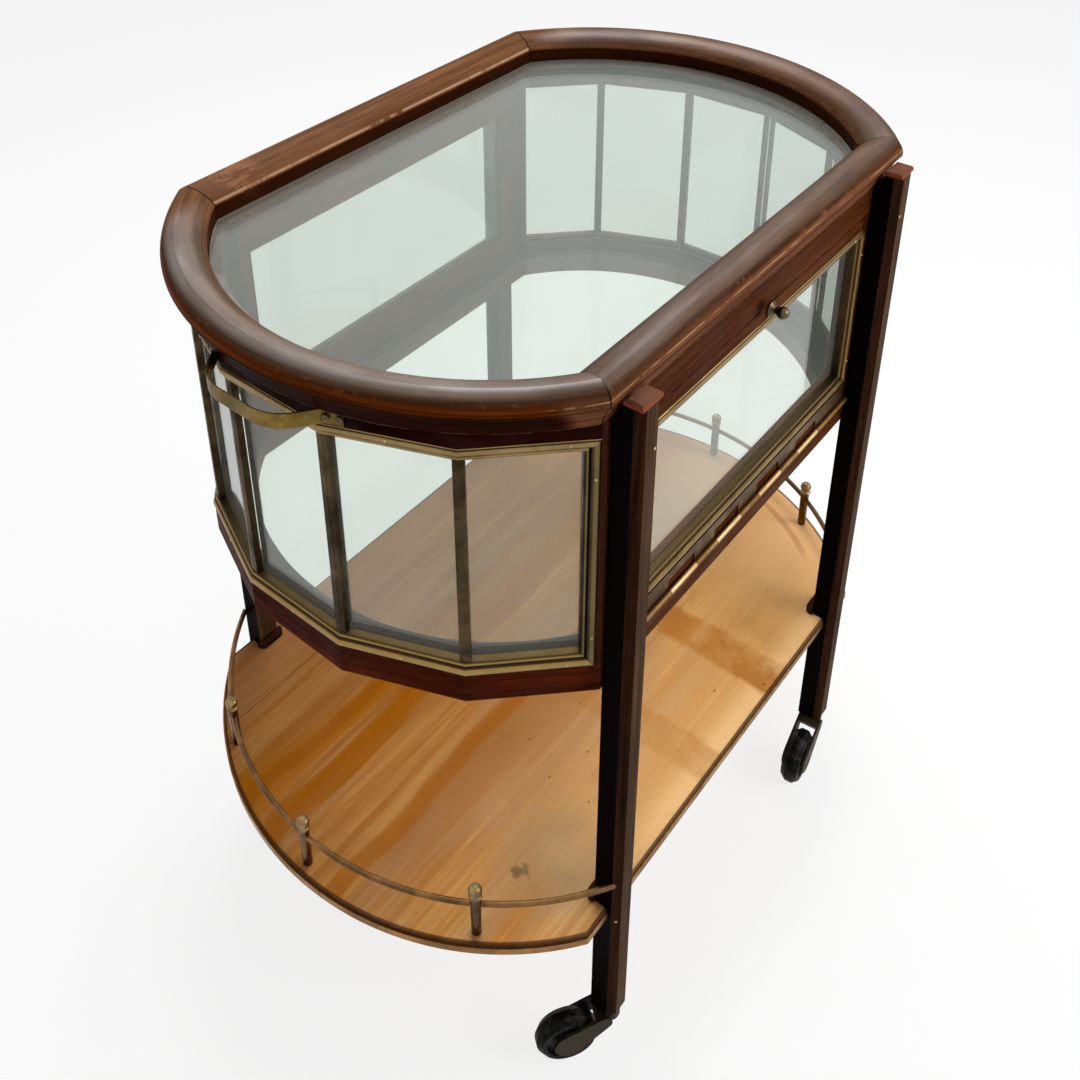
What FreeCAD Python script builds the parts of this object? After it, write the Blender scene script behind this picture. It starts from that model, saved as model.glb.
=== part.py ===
import FreeCAD, Part
import math
import os
import Sketcher
from FreeCAD import Placement, Rotation, Vector

# Driving dimensions, millimetres and degrees
DRIVING = {
    # Plan of the case
    "end_centre": 72.0,
    "case_radius": 256.0,
    "facet_angle": 22.5,
    "wall_depth": 18.0,
    "rebate_depth": 12.0,
    "rebate_width": 10.5,
    "pane_thickness": 3.0,
    "pane_play": 1.0,
    "post_show": 3.5,
    "post_side": 26.7,
    # Heights of the case
    "base_under": 473.0,
    "base_height": 26.0,
    "glazed_height": 213.0,
    "frieze_height": 16.0,
    # Base frame and floor glass
    "base_side_depth": 31.9,
    "base_end_depth": 37.0,
    "floor_rebate": 6.0,
    "floor_glass_thickness": 5.0,
    "floor_glass_play": 0.4,
    # Rim
    "rim_height": 34.5,
    "rim_width": 36.0,
    "rim_side_set": 27.9,
    "rim_end_set": 24.0,
    "rim_inner_height": 21.0,
    "rim_crown_reach": 24.0,
    "rim_shoulder_reach": 33.2,
    "rim_shoulder_height": 28.6,
    "rim_nose_height": 18.0,
    "rim_arris_step": 2.5,
    "rim_arris_drop": 2.0,
    "rim_cove_reach": 30.2,
    "rim_cove_height": 9.0,
    "rim_foot_reach": 27.5,
    "ledge_width": 10.0,
    "ledge_height": 3.0,
    "top_glass_thickness": 5.0,
    "top_glass_play": 0.6,
    # Brass glazing bead
    "bead_width": 11.5,
    "bead_proud": 1.2,
    "bead_reed": 7.2,
    "bead_shoulder": 0.5,
    "bead_quirk": 2.2,
    "bead_lip_drop": 4.0,
    "bead_lip_crown": 1.4,
    # Glazing bars
    "bar_width": 8.4,
    "bar_front": 3.0,
    "bar_web": 2.4,
    # Legs
    "leg_base": 61.0,
    "leg_set_in": 15.2,
    "leg_width": 24.0,
    "leg_depth": 24.0,
    "leg_chamfer_x": 5.0,
    "leg_chamfer_y": 7.0,
    "leg_top_drop": 15.5,
    "leg_rim_gap": 0.3,
    "cap_height": 5.0,
    "cap_round": 3.5,
    "foot_round": 5.0,
    # Shelf
    "shelf_top": 213.0,
    "shelf_thickness": 12.0,
    "shelf_end_overhang": 24.0,
    "shelf_side_overhang": 12.1,
    "strip_thickness": 1.6,
    "strip_height": 7.0,
    "strip_rise": 1.0,
    "collar_reach": 8.0,
    "collar_side": 3.0,
    "collar_height": 6.0,
    "collar_round": 6.0,
    # Gallery
    "gallery_set_in": 10.5,
    "gallery_rail_radius": 2.5,
    "gallery_rail_rise": 37.5,
    "gallery_rail_play": 0.05,
    "gallery_near_angle": 34.5,
    "gallery_far_angle": 31.7,
    "gallery_foot_radius": 4.3,
    "gallery_post_radius": 4.7,
    "gallery_ring_low": 46.0,
    "gallery_ring_radius": 5.7,
    "gallery_ring_height": 3.0,
    "gallery_throat_radius": 4.0,
    "gallery_throat_height": 50.2,
    "gallery_ball_radius": 5.8,
    # Door and back panel
    "door_gap": 1.5,
    "top_rail_height": 25.5,
    "panel_stile": 13.0,
    "panel_lower_rail": 30.5,
    "panel_upper_rail": 23.0,
    # Door hinge
    "barrel_radius": 2.5,
    "barrel_gap": 0.3,
    "hinge_pin_radius": 1.2,
    "hinge_pin_play": 0.05,
    "leaf_thickness": 1.2,
    "case_leaf_thickness": 1.0,
    "case_leaf_width": 13.0,
    "knuckle_pitch": 70.0,
    "knuckle_length": 38.0,
    "knuckle_gap": 0.4,
    "leaf_notch_height": 12.0,
    "leaf_end_gap": 2.0,
    # Door knob and its latch
    "knob_side_set": 8.0,
    "knob_bead_gap": 1.6,
    "knob_gap": 0.3,
    "knob_ball_radius": 5.2,
    "knob_ball_reach": 11.0,
    "knob_neck_radius": 2.8,
    "knob_neck_low": 4.5,
    "knob_rose_radius": 6.5,
    "knob_rose_edge": 1.5,
    "knob_rose_height": 3.0,
    "knob_rose_shoulder": 4.6,
    "spindle_radius": 2.2,
    "spindle_play": 0.06,
    "latch_gap": 1.0,
    "latch_thickness": 2.5,
    "latch_length": 20.0,
    "latch_half_width": 5.0,
    # Push handle
    "strap_thickness": 3.2,
    "strap_height": 12.0,
    "handle_drop": 8.0,
    "handle_reach": 28.5,
    "handle_half_span": 35.0,
    "handle_bow_round": 38.0,
    "handle_foot_start": 6.0,
    "handle_foot_length": 15.0,
    "handle_foot_round": 10.0,
    # Casters
    "wheel_radius": 29.0,
    "wheel_width": 18.0,
    "wheel_tread": 7.0,
    "wheel_shoulder": 24.5,
    "wheel_rim_inner": 19.0,
    "wheel_web_half": 5.5,
    "wheel_hub_radius": 9.0,
    "caster_trail": 40.0,
    "axle_radius": 3.0,
    "axle_play": 0.06,
    "fork_side_play": 0.8,
    "fork_wheel_play": 6.0,
    "cheek_thickness": 2.6,
    "cheek_low_radius": 14.0,
    "cheek_high_radius": 7.5,
    "cheek_high_set": 8.0,
    "cheek_crown_drop": 7.9,
    "crown_radius": 10.0,
    "crown_height": 9.0,
    "crown_gap": 0.3,
    "ferrule_height": 3.0,
    "ferrule_top_radius": 10.0,
    "ferrule_low_radius": 7.5,
    "stem_radius": 5.0,
    "stem_play": 0.06,
    "stem_length": 36.0,
    "stem_end_room": 2.0,
}

FACETS = 5
KNUCKLES = 4
# Swivel of each caster at rest, about the vertical, by leg
CASTER_TURNS = {"front_left": 143.0, "front_right": 186.0, "back_left": 205.0, "back_right": 170.0}
# Which side of the length and of the width each leg stands on
CORNERS = {
    "front_left": (-1, -1),
    "front_right": (1, -1),
    "back_left": (-1, 1),
    "back_right": (1, 1),
}
ENDS = {"right": 0.0, "left": 180.0}

UP = Vector(0, 0, 1)
ORIGIN = Vector(0, 0, 0)

doc = FreeCAD.newDocument("bar_cart")
sheet = doc.addObject("Spreadsheet::Sheet", "Dims")
for row, (name, value) in enumerate(DRIVING.items(), start=1):
    sheet.set("A%d" % row, name)
    sheet.set("B%d" % row, str(value))
    sheet.setAlias("B%d" % row, name)
doc.recompute()


class Size:
    """A length that carries its value and the sheet formula behind it."""

    def __init__(self, value, formula):
        self.value = float(value)
        self.formula = formula

    def __add__(self, other):
        other = as_size(other)
        return Size(self.value + other.value, "(%s + %s)" % (self.formula, other.formula))

    def __sub__(self, other):
        other = as_size(other)
        return Size(self.value - other.value, "(%s - %s)" % (self.formula, other.formula))

    def __mul__(self, other):
        other = as_size(other)
        return Size(self.value * other.value, "(%s * %s)" % (self.formula, other.formula))

    def __truediv__(self, other):
        other = as_size(other)
        return Size(self.value / other.value, "(%s / %s)" % (self.formula, other.formula))

    def __neg__(self):
        return Size(-self.value, "(-1 * %s)" % self.formula)


def as_size(item):
    return item if isinstance(item, Size) else Size(item, repr(float(item)))


def root(item):
    return Size(math.sqrt(item.value), "sqrt(%s)" % item.formula)


def cosine(item):
    return Size(math.cos(math.radians(item.value)), "cos(%s)" % item.formula)


def sine(item):
    return Size(math.sin(math.radians(item.value)), "sin(%s)" % item.formula)


def number(item):
    return as_size(item).value


class Named:
    """The driving dimensions as attributes."""


dim = Named()
for name in DRIVING:
    setattr(dim, name, Size(float(sheet.get(name)), "Dims." + name))

# Derived sizes
half_turn = dim.facet_angle / 2
case_apothem = dim.case_radius * cosine(half_turn)
end_angle = dim.facet_angle * (FACETS / 2)
case_half = dim.case_radius * sine(end_angle)
case_corner_x = dim.end_centre + dim.case_radius * cosine(end_angle)
post_inner_x = case_corner_x - dim.post_side
base_inner_half = case_half - dim.base_side_depth
base_inner_radius = dim.case_radius - dim.base_end_depth
rim_inner_half = case_half - dim.rim_side_set
rim_inner_radius = dim.case_radius - dim.rim_end_set
leg_centre_x = case_corner_x - dim.leg_set_in
shelf_half = case_half + dim.shelf_side_overhang
shelf_radius = dim.case_radius + dim.shelf_end_overhang
gallery_radius = shelf_radius - dim.gallery_set_in
base_top = dim.base_under + dim.base_height
frieze_under = base_top + dim.glazed_height
rim_under = frieze_under + dim.frieze_height
rim_top = rim_under + dim.rim_height
pane_front = dim.rebate_depth - dim.pane_thickness
base_joint_x = dim.end_centre + root(
    base_inner_radius * base_inner_radius - base_inner_half * base_inner_half)
panel_under = base_top + dim.door_gap
top_rail_under = rim_under - dim.top_rail_height
door_top = top_rail_under - dim.door_gap
door_bead_top = door_top - dim.panel_upper_rail + dim.rebate_width
knob_height = door_bead_top + dim.knob_bead_gap + dim.knob_rose_radius
handle_level = rim_under - dim.handle_drop
door_half = post_inner_x - dim.door_gap
wall_inner = case_half - dim.wall_depth
leg_centre_y = case_half + dim.leg_depth / 2
leg_outer_y = case_half + dim.leg_depth
leg_top = rim_top - dim.leg_top_drop
leg_inner_x = leg_centre_x - dim.leg_width / 2
leg_outer_x = leg_centre_x + dim.leg_width / 2
shelf_under = dim.shelf_top - dim.shelf_thickness
hinge_y = case_half + dim.barrel_gap + dim.barrel_radius
hinge_z = panel_under
axle_level = dim.wheel_radius
crown_top = dim.leg_base - dim.ferrule_height - dim.crown_gap
cheek_high_level = crown_top - dim.cheek_crown_drop


# Helpers for the document
def bind(item, prop, size):
    item.setExpression(prop, as_size(size).formula)


def place(item, x, y, z, turn=0.0, tilt=0.0):
    """Set an object at a point, tilted about X first and then turned about Z."""
    spin = Rotation(UP, turn).multiply(Rotation(Vector(1, 0, 0), tilt))
    item.Placement = Placement(Vector(number(x), number(y), number(z)), spin)
    for axis, size in zip("xyz", (x, y, z)):
        bind(item, "Placement.Base." + axis, size)


def solid(label, shape):
    item = doc.addObject("Part::Feature", label)
    item.Shape = shape
    return item


def block(label, low, high):
    """A box between two corners."""
    item = doc.addObject("Part::Box", label)
    for prop, first, last in zip(("Length", "Width", "Height"), low, high):
        bind(item, prop, as_size(last) - first)
    place(item, *low)
    return item


def cut(label, base, tool):
    item = doc.addObject("Part::Cut", label)
    item.Base = base
    item.Tool = tool
    return item


def common(label, base, tool):
    item = doc.addObject("Part::Common", label)
    item.Base = base
    item.Tool = tool
    return item


def rod(label, radius, length, x, y, z, turn=0.0, tilt=0.0):
    item = doc.addObject("Part::Cylinder", label)
    bind(item, "Radius", radius)
    bind(item, "Height", length)
    place(item, x, y, z, turn, tilt)
    return item


# Helpers for bodies
def new_body(label):
    return doc.addObject("PartDesign::Body", label)


def new_sketch(body, role, level=0.0):
    sketch = body.newObject("Sketcher::SketchObject", body.Name + "_outline")
    plane = [item for item in body.Origin.OriginFeatures if item.Role == role][0]
    sketch.AttachmentSupport = [(plane, "")]
    sketch.MapMode = "FlatFace"
    bind(sketch, "AttachmentOffset.Base.z", level)
    return sketch


def fix_coordinate(sketch, kind, curve, end, size):
    axis = -2 if kind == "DistanceX" else -1
    if size.value == 0.0:
        sketch.addConstraint(Sketcher.Constraint("PointOnObject", curve, end, axis))
        return
    index = sketch.addConstraint(Sketcher.Constraint(kind, -1, 1, curve, end, size.value))
    sketch.setExpression("Constraints[%d]" % index, size.formula)


def arc_between(start, finish, radius, turn):
    """The minor arc from start to finish, its centre on the left for a turn of 1."""
    chord = finish - start
    across = Vector(-chord.y, chord.x, 0)
    across.normalize()
    rise = math.sqrt(radius ** 2 - (chord.Length / 2) ** 2)
    centre = (start + finish) * 0.5 + across * (rise * turn)
    angles = [math.atan2(spot.y - centre.y, spot.x - centre.x) for spot in (start, finish)]
    if turn < 0:
        angles.reverse()
    if angles[1] < angles[0]:
        angles[1] += 2 * math.pi
    return Part.ArcOfCircle(Part.Circle(centre, UP, radius), angles[0], angles[1])


def draw_loop(sketch, corners, arcs=None):
    """Draw a closed outline. arcs gives the radius and turn of edges that are not straight."""
    arcs = arcs or {}
    corners = [(as_size(x), as_size(y)) for x, y in corners]
    spots = [Vector(x.value, y.value, 0) for x, y in corners]
    count = len(corners)
    curves = []
    for index in range(count):
        start, finish = spots[index], spots[(index + 1) % count]
        if index in arcs:
            radius, turn = arcs[index]
            curve = sketch.addGeometry(arc_between(start, finish, radius.value, turn), False)
            curves.append((curve, (1, 2) if turn > 0 else (2, 1)))
        else:
            curve = sketch.addGeometry(Part.LineSegment(start, finish), False)
            curves.append((curve, (1, 2)))
    for index in range(count):
        here, ends = curves[index]
        after, after_ends = curves[(index + 1) % count]
        sketch.addConstraint(Sketcher.Constraint("Coincident", here, ends[1], after, after_ends[0]))
    for (curve, ends), (x, y) in zip(curves, corners):
        fix_coordinate(sketch, "DistanceX", curve, ends[0], x)
        fix_coordinate(sketch, "DistanceY", curve, ends[0], y)
    for index, (radius, turn) in arcs.items():
        mark = sketch.addConstraint(Sketcher.Constraint("Radius", curves[index][0], radius.value))
        sketch.setExpression("Constraints[%d]" % mark, radius.formula)


def draw_circle(sketch, x, y, radius):
    x, y = as_size(x), as_size(y)
    curve = sketch.addGeometry(Part.Circle(Vector(x.value, y.value, 0), UP, radius.value), False)
    fix_coordinate(sketch, "DistanceX", curve, 3, x)
    fix_coordinate(sketch, "DistanceY", curve, 3, y)
    mark = sketch.addConstraint(Sketcher.Constraint("Radius", curve, radius.value))
    sketch.setExpression("Constraints[%d]" % mark, radius.formula)


def extrude(body, kind, sketch, length, flip=False, symmetric=False):
    feature = body.newObject("PartDesign::" + kind, body.Name + "_" + kind.lower())
    feature.Profile = sketch
    bind(feature, "Length", length)
    feature.Reversed = flip
    if symmetric:
        feature.SideType = "Symmetric"
    doc.recompute()
    return feature


def turned(body, corners, arcs=None):
    """Revolve an outline drawn against the vertical axis."""
    sketch = new_sketch(body, "XZ_Plane")
    draw_loop(sketch, corners, arcs)
    feature = body.newObject("PartDesign::Revolution", body.Name + "_turned")
    feature.Profile = sketch
    feature.ReferenceAxis = (sketch, ["V_Axis"])
    doc.recompute()
    return feature


def round_edges(body, radius, wanted):
    """Round the edges of the body that the test picks."""
    base = body.Tip
    names = ["Edge%d" % index for index, edge in enumerate(base.Shape.Edges, start=1) if wanted(edge)]
    feature = body.newObject("PartDesign::Fillet", body.Name + "_round")
    feature.Base = (base, names)
    bind(feature, "Radius", radius)
    doc.recompute()
    return feature


# Helpers for the faceted ends, worked out for the right end
def facet_corner(index, depth=0.0):
    """Plan point of a facet corner, set inward by a depth."""
    angle = (index - FACETS / 2) * number(dim.facet_angle)
    reach = (number(case_apothem) - depth) / math.cos(math.radians(number(half_turn)))
    return Vector(number(dim.end_centre) + reach * math.cos(math.radians(angle)),
                  reach * math.sin(math.radians(angle)), 0)


def facet_axes(index):
    """Middle of a facet, the direction along it and its outward normal."""
    angle = math.radians((index - FACETS / 2 + 0.5) * number(dim.facet_angle))
    outward = Vector(math.cos(angle), math.sin(angle), 0)
    along = Vector(-math.sin(angle), math.cos(angle), 0)
    middle = Vector(number(dim.end_centre), 0, 0) + outward * number(case_apothem)
    return middle, along, outward


def facet_sector(index, low, high):
    """The wedge of space in front of one facet, between the mitres at its corners."""
    centre = Vector(number(dim.end_centre), 0, low)
    reach = 2 * number(dim.case_radius)
    spots = [centre]
    for corner in (index, index + 1):
        angle = math.radians((corner - FACETS / 2) * number(dim.facet_angle))
        spots.append(centre + Vector(math.cos(angle), math.sin(angle), 0) * reach)
    return prism(spots, high - low)


def prism(spots, height):
    face = Part.Face(Part.makePolygon(list(spots) + [spots[0]]))
    return face.extrude(Vector(0, 0, height))


def at_level(spot, level):
    return Vector(spot.x, spot.y, level)


def mirrored(shape, side_x, side_y):
    """Carry a shape from the right back corner to another corner."""
    if side_x < 0:
        shape = shape.mirror(ORIGIN, Vector(1, 0, 0))
    if side_y < 0:
        shape = shape.mirror(ORIGIN, Vector(0, 1, 0))
    return shape


def turned_about(shape, angle):
    copy = shape.copy()
    copy.rotate(ORIGIN, UP, angle)
    return copy


def both_ends(stem, shape):
    for end, angle in ENDS.items():
        solid("%s_%s" % (stem, end), turned_about(shape, angle))


# Rim
def rim_profile(at):
    """Section of the rim. at turns a reach and a height into a point."""
    def spot(reach, height):
        return at(number(reach), number(rim_under + height))

    inner = spot(0, dim.rim_inner_height)
    crown = spot(dim.rim_crown_reach, dim.rim_height)
    brow = spot(dim.rim_crown_reach / 2, (dim.rim_height * 3 + dim.rim_inner_height) / 4)
    nose = spot(dim.rim_width, dim.rim_nose_height)
    shoulder = spot(dim.rim_shoulder_reach, dim.rim_shoulder_height)
    arris = spot(dim.rim_width - dim.rim_arris_step, dim.rim_nose_height - dim.rim_arris_drop)
    cove = spot(dim.rim_cove_reach, dim.rim_cove_height)
    foot = spot(dim.rim_foot_reach, 0)
    lip_low = spot(-dim.ledge_width, 0)
    lip_high = spot(-dim.ledge_width, dim.ledge_height)
    corner = spot(0, dim.ledge_height)
    edges = [
        Part.Arc(inner, brow, crown).toShape(),
        Part.Arc(crown, shoulder, nose).toShape(),
        Part.makeLine(nose, arris),
        Part.Arc(arris, cove, foot).toShape(),
        Part.makeLine(foot, lip_low),
        Part.makeLine(lip_low, lip_high),
        Part.makeLine(lip_high, corner),
        Part.makeLine(corner, inner),
    ]
    return Part.Face(Part.Wire(edges))


def arc_meets_side(radius, half):
    """Plan point where an end arc meets a straight side."""
    x = number(dim.end_centre) + math.sqrt(number(radius) ** 2 - number(half) ** 2)
    return Vector(x, number(half), 0)


rim_inner_corner = arc_meets_side(rim_inner_radius, rim_inner_half)
rim_outer_corner = arc_meets_side(rim_inner_radius + dim.rim_width, rim_inner_half + dim.rim_width)
mitre_in = rim_inner_corner * 2 - rim_outer_corner
mitre_out = rim_outer_corner * 2 - rim_inner_corner
rim_reach = 2 * number(dim.case_radius)
rim_low = number(rim_under)
rim_room = number(dim.rim_height)

side_zone = prism([Vector(-mitre_in.x, mitre_in.y, rim_low), Vector(mitre_in.x, mitre_in.y, rim_low),
                   Vector(mitre_out.x, mitre_out.y, rim_low), Vector(-mitre_out.x, mitre_out.y, rim_low)],
                  rim_room)
end_zone = prism([Vector(mitre_in.x, -mitre_in.y, rim_low), Vector(mitre_out.x, -mitre_out.y, rim_low),
                  Vector(rim_reach, -mitre_out.y, rim_low), Vector(rim_reach, mitre_out.y, rim_low),
                  Vector(mitre_out.x, mitre_out.y, rim_low), Vector(mitre_in.x, mitre_in.y, rim_low)],
                 rim_room)
side_section = rim_profile(lambda reach, level: Vector(-rim_reach, number(rim_inner_half) + reach, level))
side_rail = side_section.extrude(Vector(2 * rim_reach, 0, 0)).common(side_zone)
end_axis = Vector(number(dim.end_centre), 0, 0)
rim_radius = number(rim_inner_radius)
end_section = rim_profile(lambda reach, level: Vector(end_axis.x, -rim_radius - reach, level))
end_rail = end_section.revolve(end_axis, UP, 180).common(end_zone)

solid("rim_back", side_rail)
solid("rim_front", turned_about(side_rail, 180.0))
both_ends("rim", end_rail)


# Glass plates with round ends
def round_ended_plate(label, half, radius, level, thickness):
    body = new_body(label)
    corner_x = dim.end_centre + root(radius * radius - half * half)
    sketch = new_sketch(body, "XY_Plane", level)
    draw_loop(sketch, [(-corner_x, -half), (corner_x, -half), (corner_x, half), (-corner_x, half)],
              {1: (radius, 1), 3: (radius, 1)})
    extrude(body, "Pad", sketch, thickness)
    return body


round_ended_plate("top_glass", rim_inner_half - dim.top_glass_play,
                  rim_inner_radius - dim.top_glass_play,
                  rim_under + dim.ledge_height, dim.top_glass_thickness)
floor_level = base_top - dim.floor_glass_thickness
floor_seat_half = base_inner_half + dim.floor_rebate
floor_seat_radius = base_inner_radius + dim.floor_rebate
round_ended_plate("floor_glass", floor_seat_half - dim.floor_glass_play,
                  floor_seat_radius - dim.floor_glass_play, floor_level, dim.floor_glass_thickness)


# Base frame
def facet_corner_size(index):
    angle = dim.facet_angle * (index - FACETS / 2)
    return dim.end_centre + dim.case_radius * cosine(angle), dim.case_radius * sine(angle)


def base_end_layer(body, half, radius, level, height):
    """One layer of a base end, faceted outside and round inside."""
    meet_x = dim.end_centre + root(radius * radius - half * half)
    start_x = base_joint_x
    corners = [(start_x, -case_half)]
    corners += [facet_corner_size(index) for index in range(FACETS + 1)]
    corners += [(start_x, case_half), (start_x, half)]
    arcs = {}
    if abs(meet_x.value - start_x.value) > number(dim.floor_glass_play):
        corners.append((meet_x, half))
        arcs[len(corners) - 1] = (radius, -1)
        corners.append((meet_x, -half))
    else:
        arcs[len(corners) - 1] = (radius, -1)
    corners.append((start_x, -half))
    sketch = new_sketch(body, "XY_Plane", level)
    draw_loop(sketch, corners, arcs)
    extrude(body, "Pad", sketch, height)


for end, angle in ENDS.items():
    base_end = new_body("base_" + end)
    base_end_layer(base_end, base_inner_half, base_inner_radius, dim.base_under,
                   dim.base_height - dim.floor_glass_thickness)
    base_end_layer(base_end, floor_seat_half, floor_seat_radius, floor_level, dim.floor_glass_thickness)
    place(base_end, 0, 0, 0, angle)

for side, angle in (("front", 180.0), ("back", 0.0)):
    base_side = new_body("base_" + side)
    rail_sketch = new_sketch(base_side, "YZ_Plane", -base_joint_x)
    draw_loop(rail_sketch, [(base_inner_half, dim.base_under), (case_half, dim.base_under),
                            (case_half, base_top), (floor_seat_half, base_top),
                            (floor_seat_half, floor_level), (base_inner_half, floor_level)])
    extrude(base_side, "Pad", rail_sketch, base_joint_x * 2)
    place(base_side, 0, 0, 0, angle)


# Corner posts
def post_outline():
    """Section of the post at the right back corner."""
    corner = facet_corner(FACETS)
    along = -facet_axes(FACETS - 1)[1]
    inward = -facet_axes(FACETS - 1)[2]
    show = corner + along * number(dim.post_show)
    seat = show + inward * number(dim.rebate_depth)
    lip = seat + along * number(dim.rebate_width)
    lip_inner = lip + inward * number(dim.wall_depth - dim.rebate_depth)
    inner_side = Vector(number(post_inner_x), number(wall_inner), 0)
    outer_side = Vector(number(post_inner_x), number(case_half), 0)
    turn_corner = Vector(lip_inner.x + (number(wall_inner) - lip_inner.y) * along.x / along.y,
                         number(wall_inner), 0)
    return [outer_side, corner, show, seat, lip, lip_inner, turn_corner, inner_side]


base_level = number(base_top)
post_height = number(rim_under - base_top)
post_shape = prism([at_level(spot, base_level) for spot in post_outline()], post_height)
for name, (side_x, side_y) in CORNERS.items():
    solid("post_" + name, mirrored(post_shape, side_x, side_y))
end_posts = [mirrored(post_shape, 1, side) for side in (1, -1)]


# Faceted rings of the ends
def facet_ring(outer_depth, inner_depth, low, high):
    outer = [facet_corner(index, outer_depth) for index in range(FACETS + 1)]
    inner = [facet_corner(index, inner_depth) for index in range(FACETS + 1)]
    return prism([at_level(spot, low) for spot in outer + inner[::-1]], high - low)


frieze_low = number(frieze_under)
frieze_high = number(rim_under)
wall = number(dim.wall_depth)
seat_depth = number(dim.rebate_depth)
lip_room = number(dim.rebate_width)
frieze = facet_ring(0.0, wall, frieze_low, frieze_high)
frieze = frieze.fuse(facet_ring(seat_depth, wall, frieze_low - lip_room, frieze_low))
for post in end_posts:
    frieze = frieze.cut(post)
both_ends("frieze", frieze.removeSplitter())

# Rails over the door and at the back
for side, sign in (("front", -1), ("back", 1)):
    first, last = sorted((case_half * sign, wall_inner * sign), key=number)
    block("top_rail_" + side, (-post_inner_x, first, top_rail_under), (post_inner_x, last, rim_under))


# Brass glazing beads
def bead_section(at):
    """Section of the bead. at turns a width from the frame and a height over the wood into a point."""
    back = -number(pane_front)
    shoulder = -number(dim.bead_shoulder)
    reed = number(dim.bead_reed)
    width = number(dim.bead_width)
    quirk = -number(dim.bead_quirk)
    lip = -number(dim.bead_lip_drop)
    lip_crown = -number(dim.bead_lip_crown)
    quirk_end = reed - quirk / 4
    edges = [
        Part.makeLine(at(0, back), at(0, shoulder)),
        Part.Arc(at(0, shoulder), at(reed / 2, number(dim.bead_proud)), at(reed, shoulder)).toShape(),
        Part.makeLine(at(reed, shoulder), at(quirk_end, quirk)),
        Part.Arc(at(quirk_end, quirk), at((quirk_end + width) / 2, lip_crown), at(width, lip)).toShape(),
        Part.makeLine(at(width, lip), at(width, back)),
        Part.makeLine(at(width, back), at(0, back)),
    ]
    return Part.Wire(edges)


def facet_bead(index):
    """Bead strips of one facet, with the upright strip beside the post on the outer facets."""
    middle, along, outward = facet_axes(index)
    reach = number(dim.case_radius)
    high = number(frieze_under)
    low = number(base_top)
    zone = facet_sector(index, low, high)
    stop = number(dim.case_radius * sine(half_turn) - dim.post_show)
    if 0 < index < FACETS - 1:
        strips = []
        for level, drop in ((high, -1), (low, 1)):
            start = at_level(middle - along * reach, level)
            section = bead_section(
                lambda across, rise: start + UP * (drop * across) + outward * rise)
            strips.append(Part.Face(section).extrude(along * (2 * reach)).common(zone))
        return strips
    aim = along if index else -along
    start = at_level(middle - aim * reach, high)
    turn_high = at_level(middle + aim * stop, high)
    turn_low = at_level(middle + aim * stop, low)
    finish = at_level(middle - aim * reach, low)
    path = Part.makePolygon([start, turn_high, turn_low, finish])
    section = bead_section(lambda across, rise: start - UP * across + outward * rise)
    return [path.makePipeShell([section], True, False, 1).common(zone)]


bead_strips = [strip for index in range(FACETS) for strip in facet_bead(index)]
end_bead = bead_strips[0].multiFuse(bead_strips[1:]).removeSplitter()
both_ends("end_bead", end_bead)


# Glass panes of the ends
def facet_pane(index):
    middle, along, outward = facet_axes(index)
    depth = number(dim.rebate_depth)
    half = (number(case_apothem) - depth) * math.tan(math.radians(number(half_turn)))
    half_bar = number(dim.bar_web) / 2 + number(dim.pane_play)
    side = number(dim.case_radius * sine(half_turn) - dim.post_show - dim.pane_play)
    lower = -side if index == 0 else -half + half_bar
    upper = side if index == FACETS - 1 else half - half_bar
    low = number(base_top + dim.pane_play)
    high = number(frieze_under - dim.pane_play)
    pane = Part.makeBox(upper - lower, number(dim.pane_thickness), high - low)
    spin = Rotation(along, -outward, UP, "XYZ")
    corner = at_level(middle + along * lower - outward * number(pane_front), low)
    pane.Placement = Placement(corner, spin)
    return pane


both_ends("end_panes", Part.makeCompound([facet_pane(index) for index in range(FACETS)]))


# Glazing bars between the panes
def glazing_bar(index):
    radial = facet_corner(index) - Vector(number(dim.end_centre), 0, 0)
    radial.normalize()
    across = Vector(-radial.y, radial.x, 0)
    half = number(dim.bar_width) / 2
    web = number(dim.bar_web) / 2
    play = number(dim.pane_play) / 2
    front = facet_corner(index, number(dim.bar_front))
    seat = facet_corner(index, number(pane_front) - play)
    back = facet_corner(index, number(dim.wall_depth))
    drop = half * math.tan(math.radians(number(half_turn)))
    low = number(base_top + dim.bead_width)
    high = number(frieze_under - dim.bead_width)
    spots = [front, front + across * half - radial * drop, seat + across * half - radial * drop,
             seat + across * web, back + across * web, back - across * web,
             seat - across * web, seat - across * half - radial * drop,
             front - across * half - radial * drop]
    return prism([at_level(spot, low) for spot in spots], high - low)


bars = [glazing_bar(index) for index in range(1, FACETS)]
both_ends("glazing_bars", Part.makeCompound(bars))

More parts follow.
